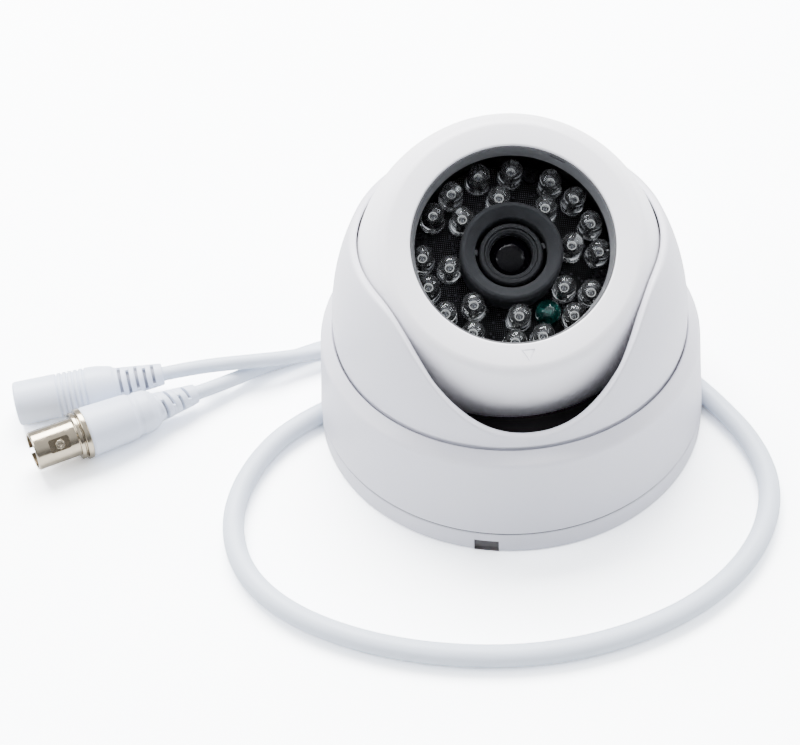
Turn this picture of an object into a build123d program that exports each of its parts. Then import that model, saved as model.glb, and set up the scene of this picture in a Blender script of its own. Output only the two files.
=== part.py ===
from build123d import *
import os
from math import sin, cos, tan, radians, degrees, pi

os.makedirs("parts", exist_ok=True)

# ----------------------------------------------------------------------------
# Indoor eyeball (turret) dome camera.  Millimetres, +Z up, base on Z = 0.
# The lens looks towards -Y and up; X is the tilt axis of the eyeball.
# ----------------------------------------------------------------------------

# base and lower cover
BASE_R = 46.5            # base plate radius at the mounting face
BASE_TOP_R = 46.3        # base plate radius at its upper edge
BASE_H = 5.6             # height of the base plate's rim
FLOOR_Z = 5.6            # underside of the base plate's raised floor
FLOOR_T = 2.2            # thickness of that floor
RIM_IN_R = 41.9          # inner radius of the rim; the cords run in the hollow inside it
CENTRE_HOLE_R = 15.0     # central cable opening
SEAM = 0.3               # visible gap between base plate and cover
COVER_R0 = 46.25         # cover radius at its lower edge
COVER_R1 = 44.35         # cover radius under the shoulder
COVER_Z1 = 26.6          # height of the shoulder
COVER_TOP = 29.4         # height of the cover's inner top edge
COVER_LIP_R = 41.6       # radius of the opening at the top
COVER_T = 1.7            # cover wall
MOUNT_PCD_R = 29.0       # radius of the mounting screw circle
MOUNT_HOLE_D = 4.5       # mounting screw clearance
NOTCH_AZ = -17.3         # release notch, degrees from the front towards +X
NOTCH_W = 6.0
NOTCH_H = 3.6

# shroud (pans on the cover's lip)
SHROUD_SKIRT_R = 40.85
SHROUD_FLANGE_R = 42.1
SHROUD_RIM_Z = 55.6

# eyeball
ZC = 44.6                # height of the ball's centre
BALL_R = 35.0            # outer radius of the eyeball
BALL_T = 2.0             # shell thickness
SOCKET_R = 35.4          # spherical bore of the shroud and of the seat ring
ELEV = 58.0              # elevation of the lens axis at rest, degrees
FACE_D = 20.5            # flat face of the eyeball, distance from the centre
APERTURE_R = 22.3
WINDOW_R = 23.8
PCB_TOP = 5.5            # front face of the LED board, distance from the centre
PCB_T = 1.6
LED_D = 5.0
LED_LEN = 8.6
LED_OUTER_R = 19.5
LED_INNER_R = 13.8
LENS_HEAD_R = 7.1
LENS_THREAD_R = 6.0      # M12 x 0.5 board lens

# cords
CABLE_D = 5.0            # main cable
PIGTAIL_D = 3.6          # power and video pigtails

def az(r, a, z=0.0):
    """point at radius r and azimuth a, degrees from -Y towards +X"""
    return (r * sin(radians(a)), -r * cos(radians(a)), z)

GAZE = Vector(0, -cos(radians(ELEV)), sin(radians(ELEV)))
UPV = Vector(0, sin(radians(ELEV)), cos(radians(ELEV)))
BC = Vector(0, 0, ZC)
BALL = Plane(origin=BC, x_dir=(1, 0, 0), z_dir=GAZE)            # local z = lens axis
BALL_PROFILE = Plane(origin=BC, x_dir=(1, 0, 0), z_dir=-UPV)    # local y = lens axis
LENS_AXIS = Axis(BC, GAZE)

# ============================================================ BASE PLATE
# cable exit: through the rim on the left, slanting towards the front
EXIT = Vector(-46.2, 0.6, 2.5)
EXIT_ANGLE = 208.0
EXIT_DIR = Vector(cos(radians(EXIT_ANGLE)), sin(radians(EXIT_ANGLE)), 0)
CHANNEL = Plane(origin=(EXIT.X, EXIT.Y, 0), x_dir=-EXIT_DIR, z_dir=(0, 0, 1))
CLAMP_S = 26.0           # distance of the cable clamp from the exit

SCREW_AZ = (35.0, 155.0, 275.0)        # cover screws
LEG_AZ = (0.0, 120.0, 215.0)           # legs of the pan frame
MOUNT_AZ = (60.0, 180.0, 300.0)        # mounting holes
FLOOR_TOP = FLOOR_Z + FLOOR_T
with BuildPart() as base_plate:
    # a rim with a raised floor, hollow underneath, and a spigot that centres the cover
    with BuildSketch(Plane.XZ) as s:
        with BuildLine():
            Polyline((RIM_IN_R, 0), (BASE_R - 0.6, 0), (BASE_R, 0.6), (BASE_TOP_R, BASE_H),
                     (43.7, BASE_H), (43.7, 8.6), (RIM_IN_R, 8.6), (RIM_IN_R, FLOOR_TOP),
                     (CENTRE_HOLE_R + 1.8, FLOOR_TOP), (CENTRE_HOLE_R + 1.8, 9.0), (CENTRE_HOLE_R, 9.0),
                     (CENTRE_HOLE_R, FLOOR_Z), (RIM_IN_R, FLOOR_Z), close=True)
        make_face()
    revolve(axis=Axis.Z)
    # three mounting feet
    with BuildSketch(Plane.XY):
        with Locations(*[az(MOUNT_PCD_R, a)[:2] for a in MOUNT_AZ]):
            Circle(5.2)
    extrude(amount=FLOOR_Z + 0.5)
    with BuildSketch(Plane.XY):
        with Locations(*[az(MOUNT_PCD_R, a)[:2] for a in MOUNT_AZ]):
            Circle(MOUNT_HOLE_D / 2)
    extrude(amount=FLOOR_TOP, mode=Mode.SUBTRACT)
    # clearance holes for the frame screws and the cover screws
    with BuildSketch(Plane.XY.offset(FLOOR_Z)):
        with Locations(*[az(37.5, a)[:2] for a in LEG_AZ], *[az(38.6, a)[:2] for a in SCREW_AZ]):
            Circle(1.6)
    extrude(amount=FLOOR_T, mode=Mode.SUBTRACT)
    # release notch in the rim
    with BuildSketch(Plane(origin=az(40.0, NOTCH_AZ), x_dir=az(1, NOTCH_AZ + 90), z_dir=az(1, NOTCH_AZ))):
        with Locations((0, NOTCH_H / 2)):
            Rectangle(NOTCH_W, NOTCH_H)
    extrude(amount=8.0, mode=Mode.SUBTRACT)
    # left notch: the cable's exit, filled by its grommet
    with BuildSketch(CHANNEL):
        with Locations((3.0, 0)):
            Rectangle(12.0, 7.4)
    extrude(amount=FLOOR_Z, mode=Mode.SUBTRACT)
    # slot where the cable climbs through the floor, and the clamp's screw holes
    with BuildSketch(CHANNEL.offset(FLOOR_Z)):
        with Locations((13.6, 0)):
            Rectangle(18.0, 6.2)
        with Locations((CLAMP_S, 4.7), (CLAMP_S, -4.7)):
            Circle(1.15)
    extrude(amount=FLOOR_T, mode=Mode.SUBTRACT)
    # right notch: the cable runs back under the base
    for p, q in (((52.0, -14.5), (42.2, 2.4)), ((42.2, 2.4), (34.0, 11.8))):
        dx, dy = q[0] - p[0], q[1] - p[1]
        run = (dx * dx + dy * dy) ** 0.5
        with BuildSketch(Plane(origin=(p[0], p[1], 0), x_dir=(dx, dy, 0), z_dir=(0, 0, 1))):
            with Locations((run / 2, 0)):
                Rectangle(run + 3.0, 6.4)
        extrude(amount=FLOOR_Z, mode=Mode.SUBTRACT)
    # rear left notch: the two pigtails leave
    with BuildSketch(Plane.XY):
        with Locations((-39.5, 22.6)):
            Rectangle(19.0, 10.0)
    extrude(amount=FLOOR_Z, mode=Mode.SUBTRACT)
base_plate.part.label = "base_plate"
export_step(base_plate.part, "parts/base_plate.step")

# ============================================================ LOWER COVER
with BuildPart() as lower_cover:
    with BuildSketch(Plane.XZ) as s:
        with BuildLine():
            Polyline((COVER_R0, BASE_H + SEAM), (COVER_R1, COVER_Z1), (COVER_LIP_R + 0.2, COVER_TOP),
                     (41.25, COVER_TOP - 0.9), (41.25, COVER_TOP - 2.6), (COVER_R1 - COVER_T, COVER_TOP - 2.6 - 0.6),
                     (COVER_R0 - COVER_T - 0.15, 9.2), (COVER_R0 - COVER_T - 0.15, BASE_H + SEAM), close=True)
        make_face()
        fillet([v for v in s.vertices() if abs(v.X - COVER_R1) < 0.01 and abs(v.Z - COVER_Z1) < 0.01], radius=1.9)
    revolve(axis=Axis.Z)
    # screw posts standing on the inside of the wall
    with BuildSketch(Plane.XY.offset(FLOOR_TOP + 0.15)):
        with Locations(*[az(38.6, a)[:2] for a in SCREW_AZ]):
            Circle(2.9)
    extrude(amount=10.0)
    for a in SCREW_AZ:
        with BuildSketch(Plane(origin=(0, 0, 9.4), x_dir=az(1, a), z_dir=(0, 0, 1))):
            with Locations((42.0, 0)):
                Rectangle(5.4, 1.6)
        extrude(amount=8.6)
    with BuildSketch(Plane.XY.offset(FLOOR_TOP)):
        with Locations(*[az(38.6, a)[:2] for a in SCREW_AZ]):
            Circle(1.28)
    extrude(amount=8.6, mode=Mode.SUBTRACT)
lower_cover.part.label = "lower_cover"
export_step(lower_cover.part, "parts/lower_cover.step")

def screws_from_below(points, z_seat, shank, head_r=2.4, head_h=1.5, shank_r=1.25):
    """pan-head screws whose heads bear upwards against z_seat"""
    with BuildPart() as out:
        with BuildSketch(Plane.XY.offset(z_seat - head_h)):
            with Locations(*points):
                Circle(head_r)
        extrude(amount=head_h)
        with BuildSketch(Plane.XY.offset(z_seat)):
            with Locations(*points):
                Circle(shank_r)
        extrude(amount=shank)
        with BuildSketch(Plane.XY.offset(z_seat - head_h)):
            with Locations(*points):
                Rectangle(2.6, 0.6)
                Rectangle(0.6, 2.6)
        extrude(amount=0.8, mode=Mode.SUBTRACT)
    return out.part

cover_screws = screws_from_below([az(38.6, a)[:2] for a in SCREW_AZ], FLOOR_Z, 9.5)
cover_screws.label = "cover_screws"
export_step(cover_screws, "parts/cover_screws.step")

# ============================================================ PAN FRAME
FRAME_TOP = 22.9
with BuildPart() as pan_frame:
    with BuildSketch(Plane.XY.offset(FRAME_TOP - 2.0)):
        Circle(42.0)
        Circle(32.5, mode=Mode.SUBTRACT)
    extrude(amount=2.0)
    # groove for the friction ring
    with BuildSketch(Plane.XY.offset(FRAME_TOP - 0.6)):
        Circle(40.6)
        Circle(38.6, mode=Mode.SUBTRACT)
    extrude(amount=0.6, mode=Mode.SUBTRACT)
    with BuildSketch(Plane.XY.offset(FLOOR_TOP)):
        with Locations(*[az(37.5, a)[:2] for a in LEG_AZ]):
            Circle(3.2)
    extrude(amount=FRAME_TOP - 2.0 - FLOOR_TOP)
    with BuildSketch(Plane.XY.offset(FLOOR_TOP)):
        with Locations(*[az(37.5, a)[:2] for a in LEG_AZ]):
            Circle(1.28)
    extrude(amount=9.0, mode=Mode.SUBTRACT)
pan_frame.part.label = "pan_frame"
export_step(pan_frame.part, "parts/pan_frame.step")

with BuildPart() as pan_friction_ring:
    with BuildSketch(Plane.XY.offset(FRAME_TOP - 0.6)):
        Circle(40.5)
        Circle(38.7, mode=Mode.SUBTRACT)
    extrude(amount=0.85)
pan_friction_ring.part.label = "pan_friction_ring"
export_step(pan_friction_ring.part, "parts/pan_friction_ring.step")

frame_screws = screws_from_below([az(37.5, a)[:2] for a in LEG_AZ], FLOOR_Z, 9.8)
frame_screws.label = "frame_screws"
export_step(frame_screws, "parts/frame_screws.step")

# ============================================================ SHROUD
RIM_OUT_R = 35.5
rim_in = (SOCKET_R ** 2 - (SHROUD_RIM_Z - ZC) ** 2) ** 0.5
z_in = 50.0
in_r = (SOCKET_R ** 2 - (z_in - ZC) ** 2) ** 0.5
mid_z = 53.0
mid_r = (SOCKET_R ** 2 - (mid_z - ZC) ** 2) ** 0.5
with BuildPart() as shroud:
    with BuildSketch(Plane.XZ) as s:
        with BuildLine():
            l1 = Line((SHROUD_SKIRT_R, 26.0), (SHROUD_SKIRT_R, 29.5))
            l2 = Line((SHROUD_SKIRT_R, 29.5), (41.2, 30.1))
            a1 = ThreePointArc((41.2, 30.1), (39.75, 43.5), (RIM_OUT_R, SHROUD_RIM_Z))
            l3 = Line((RIM_OUT_R, SHROUD_RIM_Z), (rim_in, SHROUD_RIM_Z))
            a2 = ThreePointArc((rim_in, SHROUD_RIM_Z), (mid_r, mid_z), (in_r, z_in))
            l4 = Line((in_r, z_in), (37.6, 43.5))
            l5 = Line((37.6, 43.5), (39.0, 31.6))
            l6 = Line((39.0, 31.6), (39.0, 23.5))
            l7 = Line((39.0, 23.5), (SHROUD_FLANGE_R, 23.5))
            l8 = Line((SHROUD_FLANGE_R, 23.5), (SHROUD_FLANGE_R, 26.0))
            l9 = Line((SHROUD_FLANGE_R, 26.0), (SHROUD_SKIRT_R, 26.0))
        make_face()
    revolve(axis=Axis.Z)
    # front scoop, seen from the front
    with BuildSketch(Plane.XZ.offset(0)) as s:
        with BuildLine():
            sp = Spline((-33.5, 57.0), (-29.6, 55.9), (-27.0, 54.0), (-24.1, 49.6), (-20.5, 44.4), (-16.6, 40.0), (-12.3, 36.6),
                        (-7.5, 34.5), (0, 33.6), (7.5, 34.5), (12.3, 36.6), (16.6, 40.0), (20.5, 44.4),
                        (24.1, 49.6), (27.0, 54.0), (29.6, 55.9), (33.5, 57.0), tangents=((1, -0.15), (1, 0.15)))
            Polyline((33.5, 57.0), (33.5, 75.0), (-33.5, 75.0), (-33.5, 57.0))
        make_face()
    extrude(amount=60.0, mode=Mode.SUBTRACT)
    # bosses for the seat ring's screws
    with BuildSketch(Plane.XY.offset(29.6)):
        with Locations(*[az(36.4, a)[:2] for a in (60, 180, 300)]):
            Circle(3.0)
    extrude(amount=4.0)
    with BuildSketch(Plane.XY.offset(29.6)):
        with Locations(*[az(36.4, a)[:2] for a in (60, 180, 300)]):
            Circle(1.0)
    extrude(amount=3.4, mode=Mode.SUBTRACT)
    with BuildSketch(Plane(origin=BC, x_dir=(1, 0, 0), z_dir=(0, -1, 0))) as s:
        with BuildLine():
            Line((0, -SOCKET_R), (0, SOCKET_R))
            ThreePointArc((0, SOCKET_R), (SOCKET_R, 0), (0, -SOCKET_R))
        make_face()
    revolve(axis=Axis.Z, mode=Mode.SUBTRACT)
shroud.part.label = "shroud"
export_step(shroud.part, "parts/shroud.step")

# seat ring: the lower half of the ball's socket, screwed up into the shroud
z0, z1 = 24.0, 29.6
r0 = (SOCKET_R ** 2 - (ZC - z0) ** 2) ** 0.5
r1 = (SOCKET_R ** 2 - (ZC - z1) ** 2) ** 0.5
zm = 26.8
rm = (SOCKET_R ** 2 - (ZC - zm) ** 2) ** 0.5
RING_C = ((BALL_R + 1.2) * rm / SOCKET_R, ZC - (BALL_R + 1.2) * (ZC - zm) / SOCKET_R)
with BuildPart() as ball_seat_ring:
    with BuildSketch(Plane.XZ):
        with BuildLine():
            Line((r0, z0), (38.8, z0))
            Line((38.8, z0), (38.8, z1))
            Line((38.8, z1), (r1, z1))
            ThreePointArc((r1, z1), (rm, zm), (r0, z0))
        make_face()
        # groove for the friction ring
        with Locations(RING_C):
            Circle(0.95, mode=Mode.SUBTRACT)
    revolve(axis=Axis.Z)
    with BuildSketch(Plane.XY.offset(z0)):
        with Locations(*[az(36.4, a)[:2] for a in (60, 180, 300)]):
            Circle(1.25)
    extrude(amount=6.0, mode=Mode.SUBTRACT)
    with BuildSketch(Plane.XY.offset(z0)):
        with Locations(*[az(36.4, a)[:2] for a in (60, 180, 300)]):
            Circle(2.2)
    extrude(amount=1.9, mode=Mode.SUBTRACT)
ball_seat_ring.part.label = "ball_seat_ring"
export_step(ball_seat_ring.part, "parts/ball_seat_ring.step")

# rubber friction ring, an O-ring in the seat's groove
with BuildPart() as ball_friction_ring:
    with BuildSketch(Plane.XZ):
        with Locations(RING_C):
            Circle(0.9)
    revolve(axis=Axis.Z)
ball_friction_ring.part.label = "ball_friction_ring"
export_step(ball_friction_ring.part, "parts/ball_friction_ring.step")

with BuildPart() as seat_screws:
    with BuildSketch(Plane.XY.offset(24.3)):
        with Locations(*[az(36.4, a)[:2] for a in (60, 180, 300)]):
            Circle(1.9)
    extrude(amount=1.6)
    with BuildSketch(Plane.XY.offset(25.9)):
        with Locations(*[az(36.4, a)[:2] for a in (60, 180, 300)]):
            Circle(0.97)
    extrude(amount=6.6)
seat_screws.part.label = "seat_screws"
export_step(seat_screws.part, "parts/seat_screws.step")

# ============================================================ EYEBALL SHELLS
SPLIT = -3.0
RI = BALL_R - BALL_T
TUBE_R = 24.0            # bore behind the aperture
TUBE_T = 1.6

def on(r, d):
    """radius of a sphere of radius r at distance d along the lens axis"""
    return (r * r - d * d) ** 0.5

CLAMP_AZ = (90.0, 210.0, 330.0)
SHELL_AZ = (30.0, 150.0, 270.0)
BOSS_R = 27.9
SHELL_BOSS_R = 28.4

def cap(r, z, sag):
    """spherical cap of radius r at its edge, from (r, z) to the axis, as three points"""
    big = (r * r + sag * sag) / (2 * sag)
    x = r * 0.52
    return (r, z), (x, z + sag - big + (big * big - x * x) ** 0.5), (0, z + sag)

def pol(r, a):
    return (r * cos(radians(a)), r * sin(radians(a)))

with BuildPart() as ball_front_shell:
    with BuildSketch(BALL_PROFILE) as s:
        with BuildLine():
            ThreePointArc((on(BALL_R, SPLIT), SPLIT), (on(BALL_R, 9.0), 9.0), (on(BALL_R, 19.2), 19.2))
            ThreePointArc((on(BALL_R, 19.2), 19.2), (28.55, 20.1), (27.3, FACE_D))
            Line((27.3, FACE_D), (APERTURE_R, FACE_D))
            Line((APERTURE_R, FACE_D), (APERTURE_R, 18.5))
            Line((APERTURE_R, 18.5), (TUBE_R, 18.5))
            Line((TUBE_R, 18.5), (TUBE_R, 4.0))
            Line((TUBE_R, 4.0), (TUBE_R + TUBE_T, 4.0))
            Line((TUBE_R + TUBE_T, 4.0), (TUBE_R + TUBE_T, 18.3))
            Line((TUBE_R + TUBE_T, 18.3), (on(RI, 18.3), 18.3))
            ThreePointArc((on(RI, 18.3), 18.3), (on(RI, 8.0), 8.0), (on(RI, SPLIT), SPLIT))
            Line((on(RI, SPLIT), SPLIT), (on(BALL_R, SPLIT), SPLIT))
        make_face()
    revolve(axis=LENS_AXIS)
    # screw posts: three for the clamp ring, three for the rear shell
    with BuildSketch(BALL.offset(4.0)):
        with Locations(*[pol(BOSS_R, a) for a in CLAMP_AZ]):
            Circle(2.3)
    extrude(amount=11.0)
    with BuildSketch(BALL.offset(SPLIT)):
        with Locations(*[pol(SHELL_BOSS_R, a) for a in SHELL_AZ]):
            Circle(2.5)
    extrude(amount=17.6)
    with BuildSketch(BALL.offset(4.0)):
        with Locations(*[pol(BOSS_R, a) for a in CLAMP_AZ]):
            Circle(1.0)
    extrude(amount=8.0, mode=Mode.SUBTRACT)
    with BuildSketch(BALL.offset(SPLIT)):
        with Locations(*[pol(SHELL_BOSS_R, a) for a in SHELL_AZ]):
            Circle(1.28)
    extrude(amount=10.0, mode=Mode.SUBTRACT)
    # orientation mark engraved in the face, below the aperture
    with BuildSketch(BALL.offset(FACE_D - 0.25)):
        with Locations((0, -24.85)):
            Triangle(a=2.9, b=2.9, c=2.9, rotation=180)
            Triangle(a=1.9, b=1.9, c=1.9, rotation=180, mode=Mode.SUBTRACT)
    extrude(amount=1.0, mode=Mode.SUBTRACT)
ball_front_shell.part.label = "ball_front_shell"
export_step(ball_front_shell.part, "parts/ball_front_shell.step")

# direction of the lead's way out of the ball: 37 degrees below the rear pole
LEAD_TILT = 37.0
LEAD_DIR = (GAZE * -cos(radians(LEAD_TILT))) + (UPV * -sin(radians(LEAD_TILT)))
LEAD = Plane(origin=BC, x_dir=(1, 0, 0), z_dir=LEAD_DIR)
with BuildPart() as ball_rear_shell:
    with BuildSketch(BALL_PROFILE) as s:
        with BuildLine():
            Line((on(BALL_R, SPLIT), SPLIT), (on(RI, SPLIT), SPLIT))
            ThreePointArc((on(RI, SPLIT), SPLIT), (on(RI, -23.3), -23.3), (0, -RI))
            Line((0, -RI), (0, -BALL_R))
            ThreePointArc((0, -BALL_R), (on(BALL_R, -24.7), -24.7), (on(BALL_R, SPLIT), SPLIT))
        make_face()
    revolve(axis=LENS_AXIS)
    with BuildSketch(BALL.offset(SPLIT)):
        with Locations(*[pol(SHELL_BOSS_R, a) for a in SHELL_AZ]):
            Circle(3.4)
    extrude(amount=-12.0)
    # trim the posts to the ball's outside
    with BuildSketch(BALL_PROFILE) as s:
        with BuildLine():
            Line((on(BALL_R, SPLIT), SPLIT), (0, SPLIT))
            Line((0, SPLIT), (0, -BALL_R))
            ThreePointArc((0, -BALL_R), (on(BALL_R, -24.7), -24.7), (on(BALL_R, SPLIT), SPLIT))
        make_face()
    revolve(axis=LENS_AXIS, mode=Mode.INTERSECT)
    with BuildSketch(BALL.offset(SPLIT)):
        with Locations(*[pol(SHELL_BOSS_R, a) for a in SHELL_AZ]):
            Circle(1.35)
    extrude(amount=-30.0, mode=Mode.SUBTRACT)
    with BuildSketch(BALL.offset(-8.0)):
        with Locations(*[pol(SHELL_BOSS_R, a) for a in SHELL_AZ]):
            Circle(2.5)
    extrude(amount=-30.0, mode=Mode.SUBTRACT)
    with BuildSketch(LEAD):
        Circle(4.0)
    extrude(amount=40.0, mode=Mode.SUBTRACT)
ball_rear_shell.part.label = "ball_rear_shell"
export_step(ball_rear_shell.part, "parts/ball_rear_shell.step")

with BuildPart() as shell_screws:
    with BuildSketch(BALL.offset(-10.0)):
        with Locations(*[pol(SHELL_BOSS_R, a) for a in SHELL_AZ]):
            Circle(2.2)
    extrude(amount=2.0)
    with BuildSketch(BALL.offset(-8.0)):
        with Locations(*[pol(SHELL_BOSS_R, a) for a in SHELL_AZ]):
            Circle(1.25)
    extrude(amount=13.0)
shell_screws.part.label = "shell_screws"
export_step(shell_screws.part, "parts/shell_screws.step")

# rubber grommet for the inner lead
with BuildPart() as lead_grommet:
    with BuildSketch(LEAD.offset(RI - 1.7)):
        Circle(5.4)
        Circle(2.2, mode=Mode.SUBTRACT)
    extrude(amount=0.9)
    with BuildSketch(LEAD.offset(RI - 0.8)):
        Circle(3.9)
        Circle(2.2, mode=Mode.SUBTRACT)
    extrude(amount=3.6)
lead_grommet.part.label = "lead_grommet"
export_step(lead_grommet.part, "parts/lead_grommet.step")

# ============================================================ WINDOW STACK
with BuildPart() as window_ring:
    with BuildSketch(BALL_PROFILE):
        with BuildLine():
            Polyline((21.3, 16.2), (22.0, 20.1), (22.25, 20.1), (22.25, 18.4), (WINDOW_R, 18.4), (WINDOW_R, 16.2), close=True)
        make_face()
    revolve(axis=LENS_AXIS)
    with BuildSketch(Plane(origin=BC + GAZE * 19.6, x_dir=(cos(radians(147)), sin(radians(147)) * UPV.Y, sin(radians(147)) * UPV.Z), z_dir=GAZE)):
        with Locations((0, -21.9)):
            Rectangle(3.4, 1.6)
    extrude(amount=1.0, mode=Mode.SUBTRACT)
window_ring.part.label = "window_ring"
export_step(window_ring.part, "parts/window_ring.step")

with BuildPart() as window:
    with BuildSketch(BALL.offset(15.0)):
        Circle(WINDOW_R)
    extrude(amount=1.2)
window.part.label = "window"
export_step(window.part, "parts/window.step")

with BuildPart() as window_gasket:
    with BuildSketch(BALL.offset(14.5)):
        Circle(WINDOW_R)
        Circle(22.2, mode=Mode.SUBTRACT)
    extrude(amount=0.5)
window_gasket.part.label = "window_gasket"
export_step(window_gasket.part, "parts/window_gasket.step")

with BuildPart() as led_shade:
    with BuildSketch(BALL.offset(PCB_TOP)):
        Circle(WINDOW_R)
        Circle(22.7, mode=Mode.SUBTRACT)
    extrude(amount=14.5 - PCB_TOP)
led_shade.part.label = "led_shade"
export_step(led_shade.part, "parts/led_shade.step")

# ============================================================ LED BOARD
BOARD_SCREWS = [pol(20.6, a) for a in (70.0, 160.7, 252.2, 343.5)]
OUTER = (17.0, 37.0, 56.0, 83.5, 105.5, 126.5, 146.0, 175.5, 195.8, 216.4, 238.0, 266.3, 285.0, 310.0, 329.5, 357.5)
INNER = (4.5, 49.0, 94.5, 135.5, 185.0, 228.0, 271.5, 323.5)
LEDS = [pol(LED_OUTER_R, a) for a in OUTER] + [pol(LED_INNER_R, a) for a in INNER]
SENSOR = pol(14.8, 298.0)
with BuildPart() as led_board:
    with BuildSketch(BALL.offset(PCB_TOP - PCB_T)):
        Circle(WINDOW_R)
        Circle(8.2, mode=Mode.SUBTRACT)
        with Locations(*BOARD_SCREWS):
            Circle(1.1, mode=Mode.SUBTRACT)
    extrude(amount=PCB_T)
led_board.part.label = "led_board"
export_step(led_board.part, "parts/led_board.step")

with BuildPart() as ir_leds:
    with BuildSketch(BALL.offset(PCB_TOP)):
        with Locations(*LEDS):
            Circle(2.85)
    extrude(amount=1.0)
    with BuildSketch(BALL.offset(PCB_TOP + 1.0)):
        with Locations(*LEDS):
            Circle(LED_D / 2)
    extrude(amount=LED_LEN - 1.0 - LED_D / 2)
    for p in LEDS:
        q = BC + Vector(1, 0, 0) * p[0] + UPV * p[1] + GAZE * (PCB_TOP + LED_LEN - LED_D / 2)
        with BuildSketch(Plane(origin=q, x_dir=(1, 0, 0), z_dir=-UPV)):
            with BuildLine():
                Line((0, 0), (LED_D / 2, 0))
                ThreePointArc((LED_D / 2, 0), (LED_D / 2 * cos(pi / 4), LED_D / 2 * sin(pi / 4)), (0, LED_D / 2))
                Line((0, LED_D / 2), (0, 0))
            make_face()
        revolve(axis=Axis(q, GAZE))
ir_leds.part.label = "ir_leds"
export_step(ir_leds.part, "parts/ir_leds.step")

with BuildPart() as light_sensor:
    with BuildSketch(BALL.offset(PCB_TOP)):
        with Locations(SENSOR):
            Circle(2.9)
    extrude(amount=3.0)
    q = BC + Vector(1, 0, 0) * SENSOR[0] + UPV * SENSOR[1] + GAZE * (PCB_TOP + 3.0)
    with BuildSketch(Plane(origin=q, x_dir=(1, 0, 0), z_dir=-UPV)):
        with BuildLine():
            Line((0, 0), (2.9, 0))
            ThreePointArc(*cap(2.9, 0, 2.2))
            Line((0, 2.2), (0, 0))
        make_face()
    revolve(axis=Axis(q, GAZE))
light_sensor.part.label = "light_sensor"
export_step(light_sensor.part, "parts/light_sensor.step")

# foam ring that keeps the infrared light off the lens
with BuildPart() as lens_foam_ring:
    with BuildSketch(BALL_PROFILE):
        with BuildLine():
            Polyline((8.5, PCB_TOP), (10.7, PCB_TOP), (10.7, 7.0), (11.2, 7.0), (11.2, 14.3), (10.6, 14.9),
                     (9.2, 14.9), (8.5, 13.6), close=True)
        make_face()
    revolve(axis=LENS_AXIS)
lens_foam_ring.part.label = "lens_foam_ring"
export_step(lens_foam_ring.part, "parts/lens_foam_ring.step")

# clamp ring behind the LED board, with three screw lugs
with BuildPart() as board_clamp_ring:
    with BuildSketch(BALL.offset(2.3)):
        Circle(25.2)
        with Locations(*[pol(BOSS_R - 1.5, a) for a in CLAMP_AZ]):
            Circle(3.2)
        Circle(23.2, mode=Mode.SUBTRACT)
        with Locations(*[pol(BOSS_R, a) for a in CLAMP_AZ]):
            Circle(1.2, mode=Mode.SUBTRACT)
    extrude(amount=1.6)
board_clamp_ring.part.label = "board_clamp_ring"
export_step(board_clamp_ring.part, "parts/board_clamp_ring.step")

with BuildPart() as clamp_ring_screws:
    with BuildSketch(BALL.offset(0.8)):
        with Locations(*[pol(BOSS_R, a) for a in CLAMP_AZ]):
            Circle(1.9)
    extrude(amount=1.5)
    with BuildSketch(BALL.offset(2.3)):
        with Locations(*[pol(BOSS_R, a) for a in CLAMP_AZ]):
            Circle(0.97)
    extrude(amount=8.0)
clamp_ring_screws.part.label = "clamp_ring_screws"
export_step(clamp_ring_screws.part, "parts/clamp_ring_screws.step")

# ============================================================ SENSOR BOARD
SB_TOP = -8.0
with BuildPart() as sensor_board:
    with BuildSketch(BALL.offset(SB_TOP - 1.6)):
        Circle(23.2)
        with Locations(*BOARD_SCREWS):
            Circle(1.1, mode=Mode.SUBTRACT)
    extrude(amount=1.6)
sensor_board.part.label = "sensor_board"
export_step(sensor_board.part, "parts/sensor_board.step")

with BuildPart() as standoffs:
    with BuildSketch(BALL.offset(SB_TOP)):
        with Locations(*BOARD_SCREWS):
            RegularPolygon(radius=2.2, side_count=6)
            Circle(1.02, mode=Mode.SUBTRACT)
    extrude(amount=PCB_TOP - PCB_T - SB_TOP)
standoffs.part.label = "standoffs"
export_step(standoffs.part, "parts/standoffs.step")

with BuildPart() as board_screws:
    with BuildSketch(BALL.offset(PCB_TOP)):
        with Locations(*BOARD_SCREWS):
            Circle(1.75)
    extrude(amount=1.3)
    with BuildSketch(BALL.offset(PCB_TOP)):
        with Locations(*BOARD_SCREWS):
            Circle(1.0)
    extrude(amount=-4.6)
    with BuildSketch(BALL.offset(PCB_TOP + 0.6)):
        with Locations(*BOARD_SCREWS):
            Rectangle(2.2, 0.5)
            Rectangle(0.5, 2.2)
    extrude(amount=1.0, mode=Mode.SUBTRACT)
    with BuildSketch(BALL.offset(SB_TOP - 1.6)):
        with Locations(*BOARD_SCREWS):
            Circle(1.75)
    extrude(amount=-1.3)
    with BuildSketch(BALL.offset(SB_TOP - 1.6)):
        with Locations(*BOARD_SCREWS):
            Circle(1.0)
    extrude(amount=4.6)
board_screws.part.label = "board_screws"
export_step(board_screws.part, "parts/board_screws.step")

with BuildPart() as image_sensor:
    with BuildSketch(BALL.offset(SB_TOP)):
        Rectangle(9.0, 8.0)
    extrude(amount=1.3)
image_sensor.part.label = "image_sensor"
export_step(image_sensor.part, "parts/image_sensor.step")

with BuildPart() as board_connectors:
    with BuildSketch(BALL.offset(SB_TOP - 1.6)):
        with Locations((-8.0, -12.0), (9.0, -12.0)):
            Rectangle(11.0, 4.2)
    extrude(amount=-5.0)
    with BuildSketch(BALL.offset(SB_TOP - 6.6)):
        with Locations((-8.0, -12.0), (9.0, -12.0)):
            Rectangle(9.4, 2.6)
    extrude(amount=3.6, mode=Mode.SUBTRACT)
board_connectors.part.label = "board_connectors"
export_step(board_connectors.part, "parts/board_connectors.step")

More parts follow.
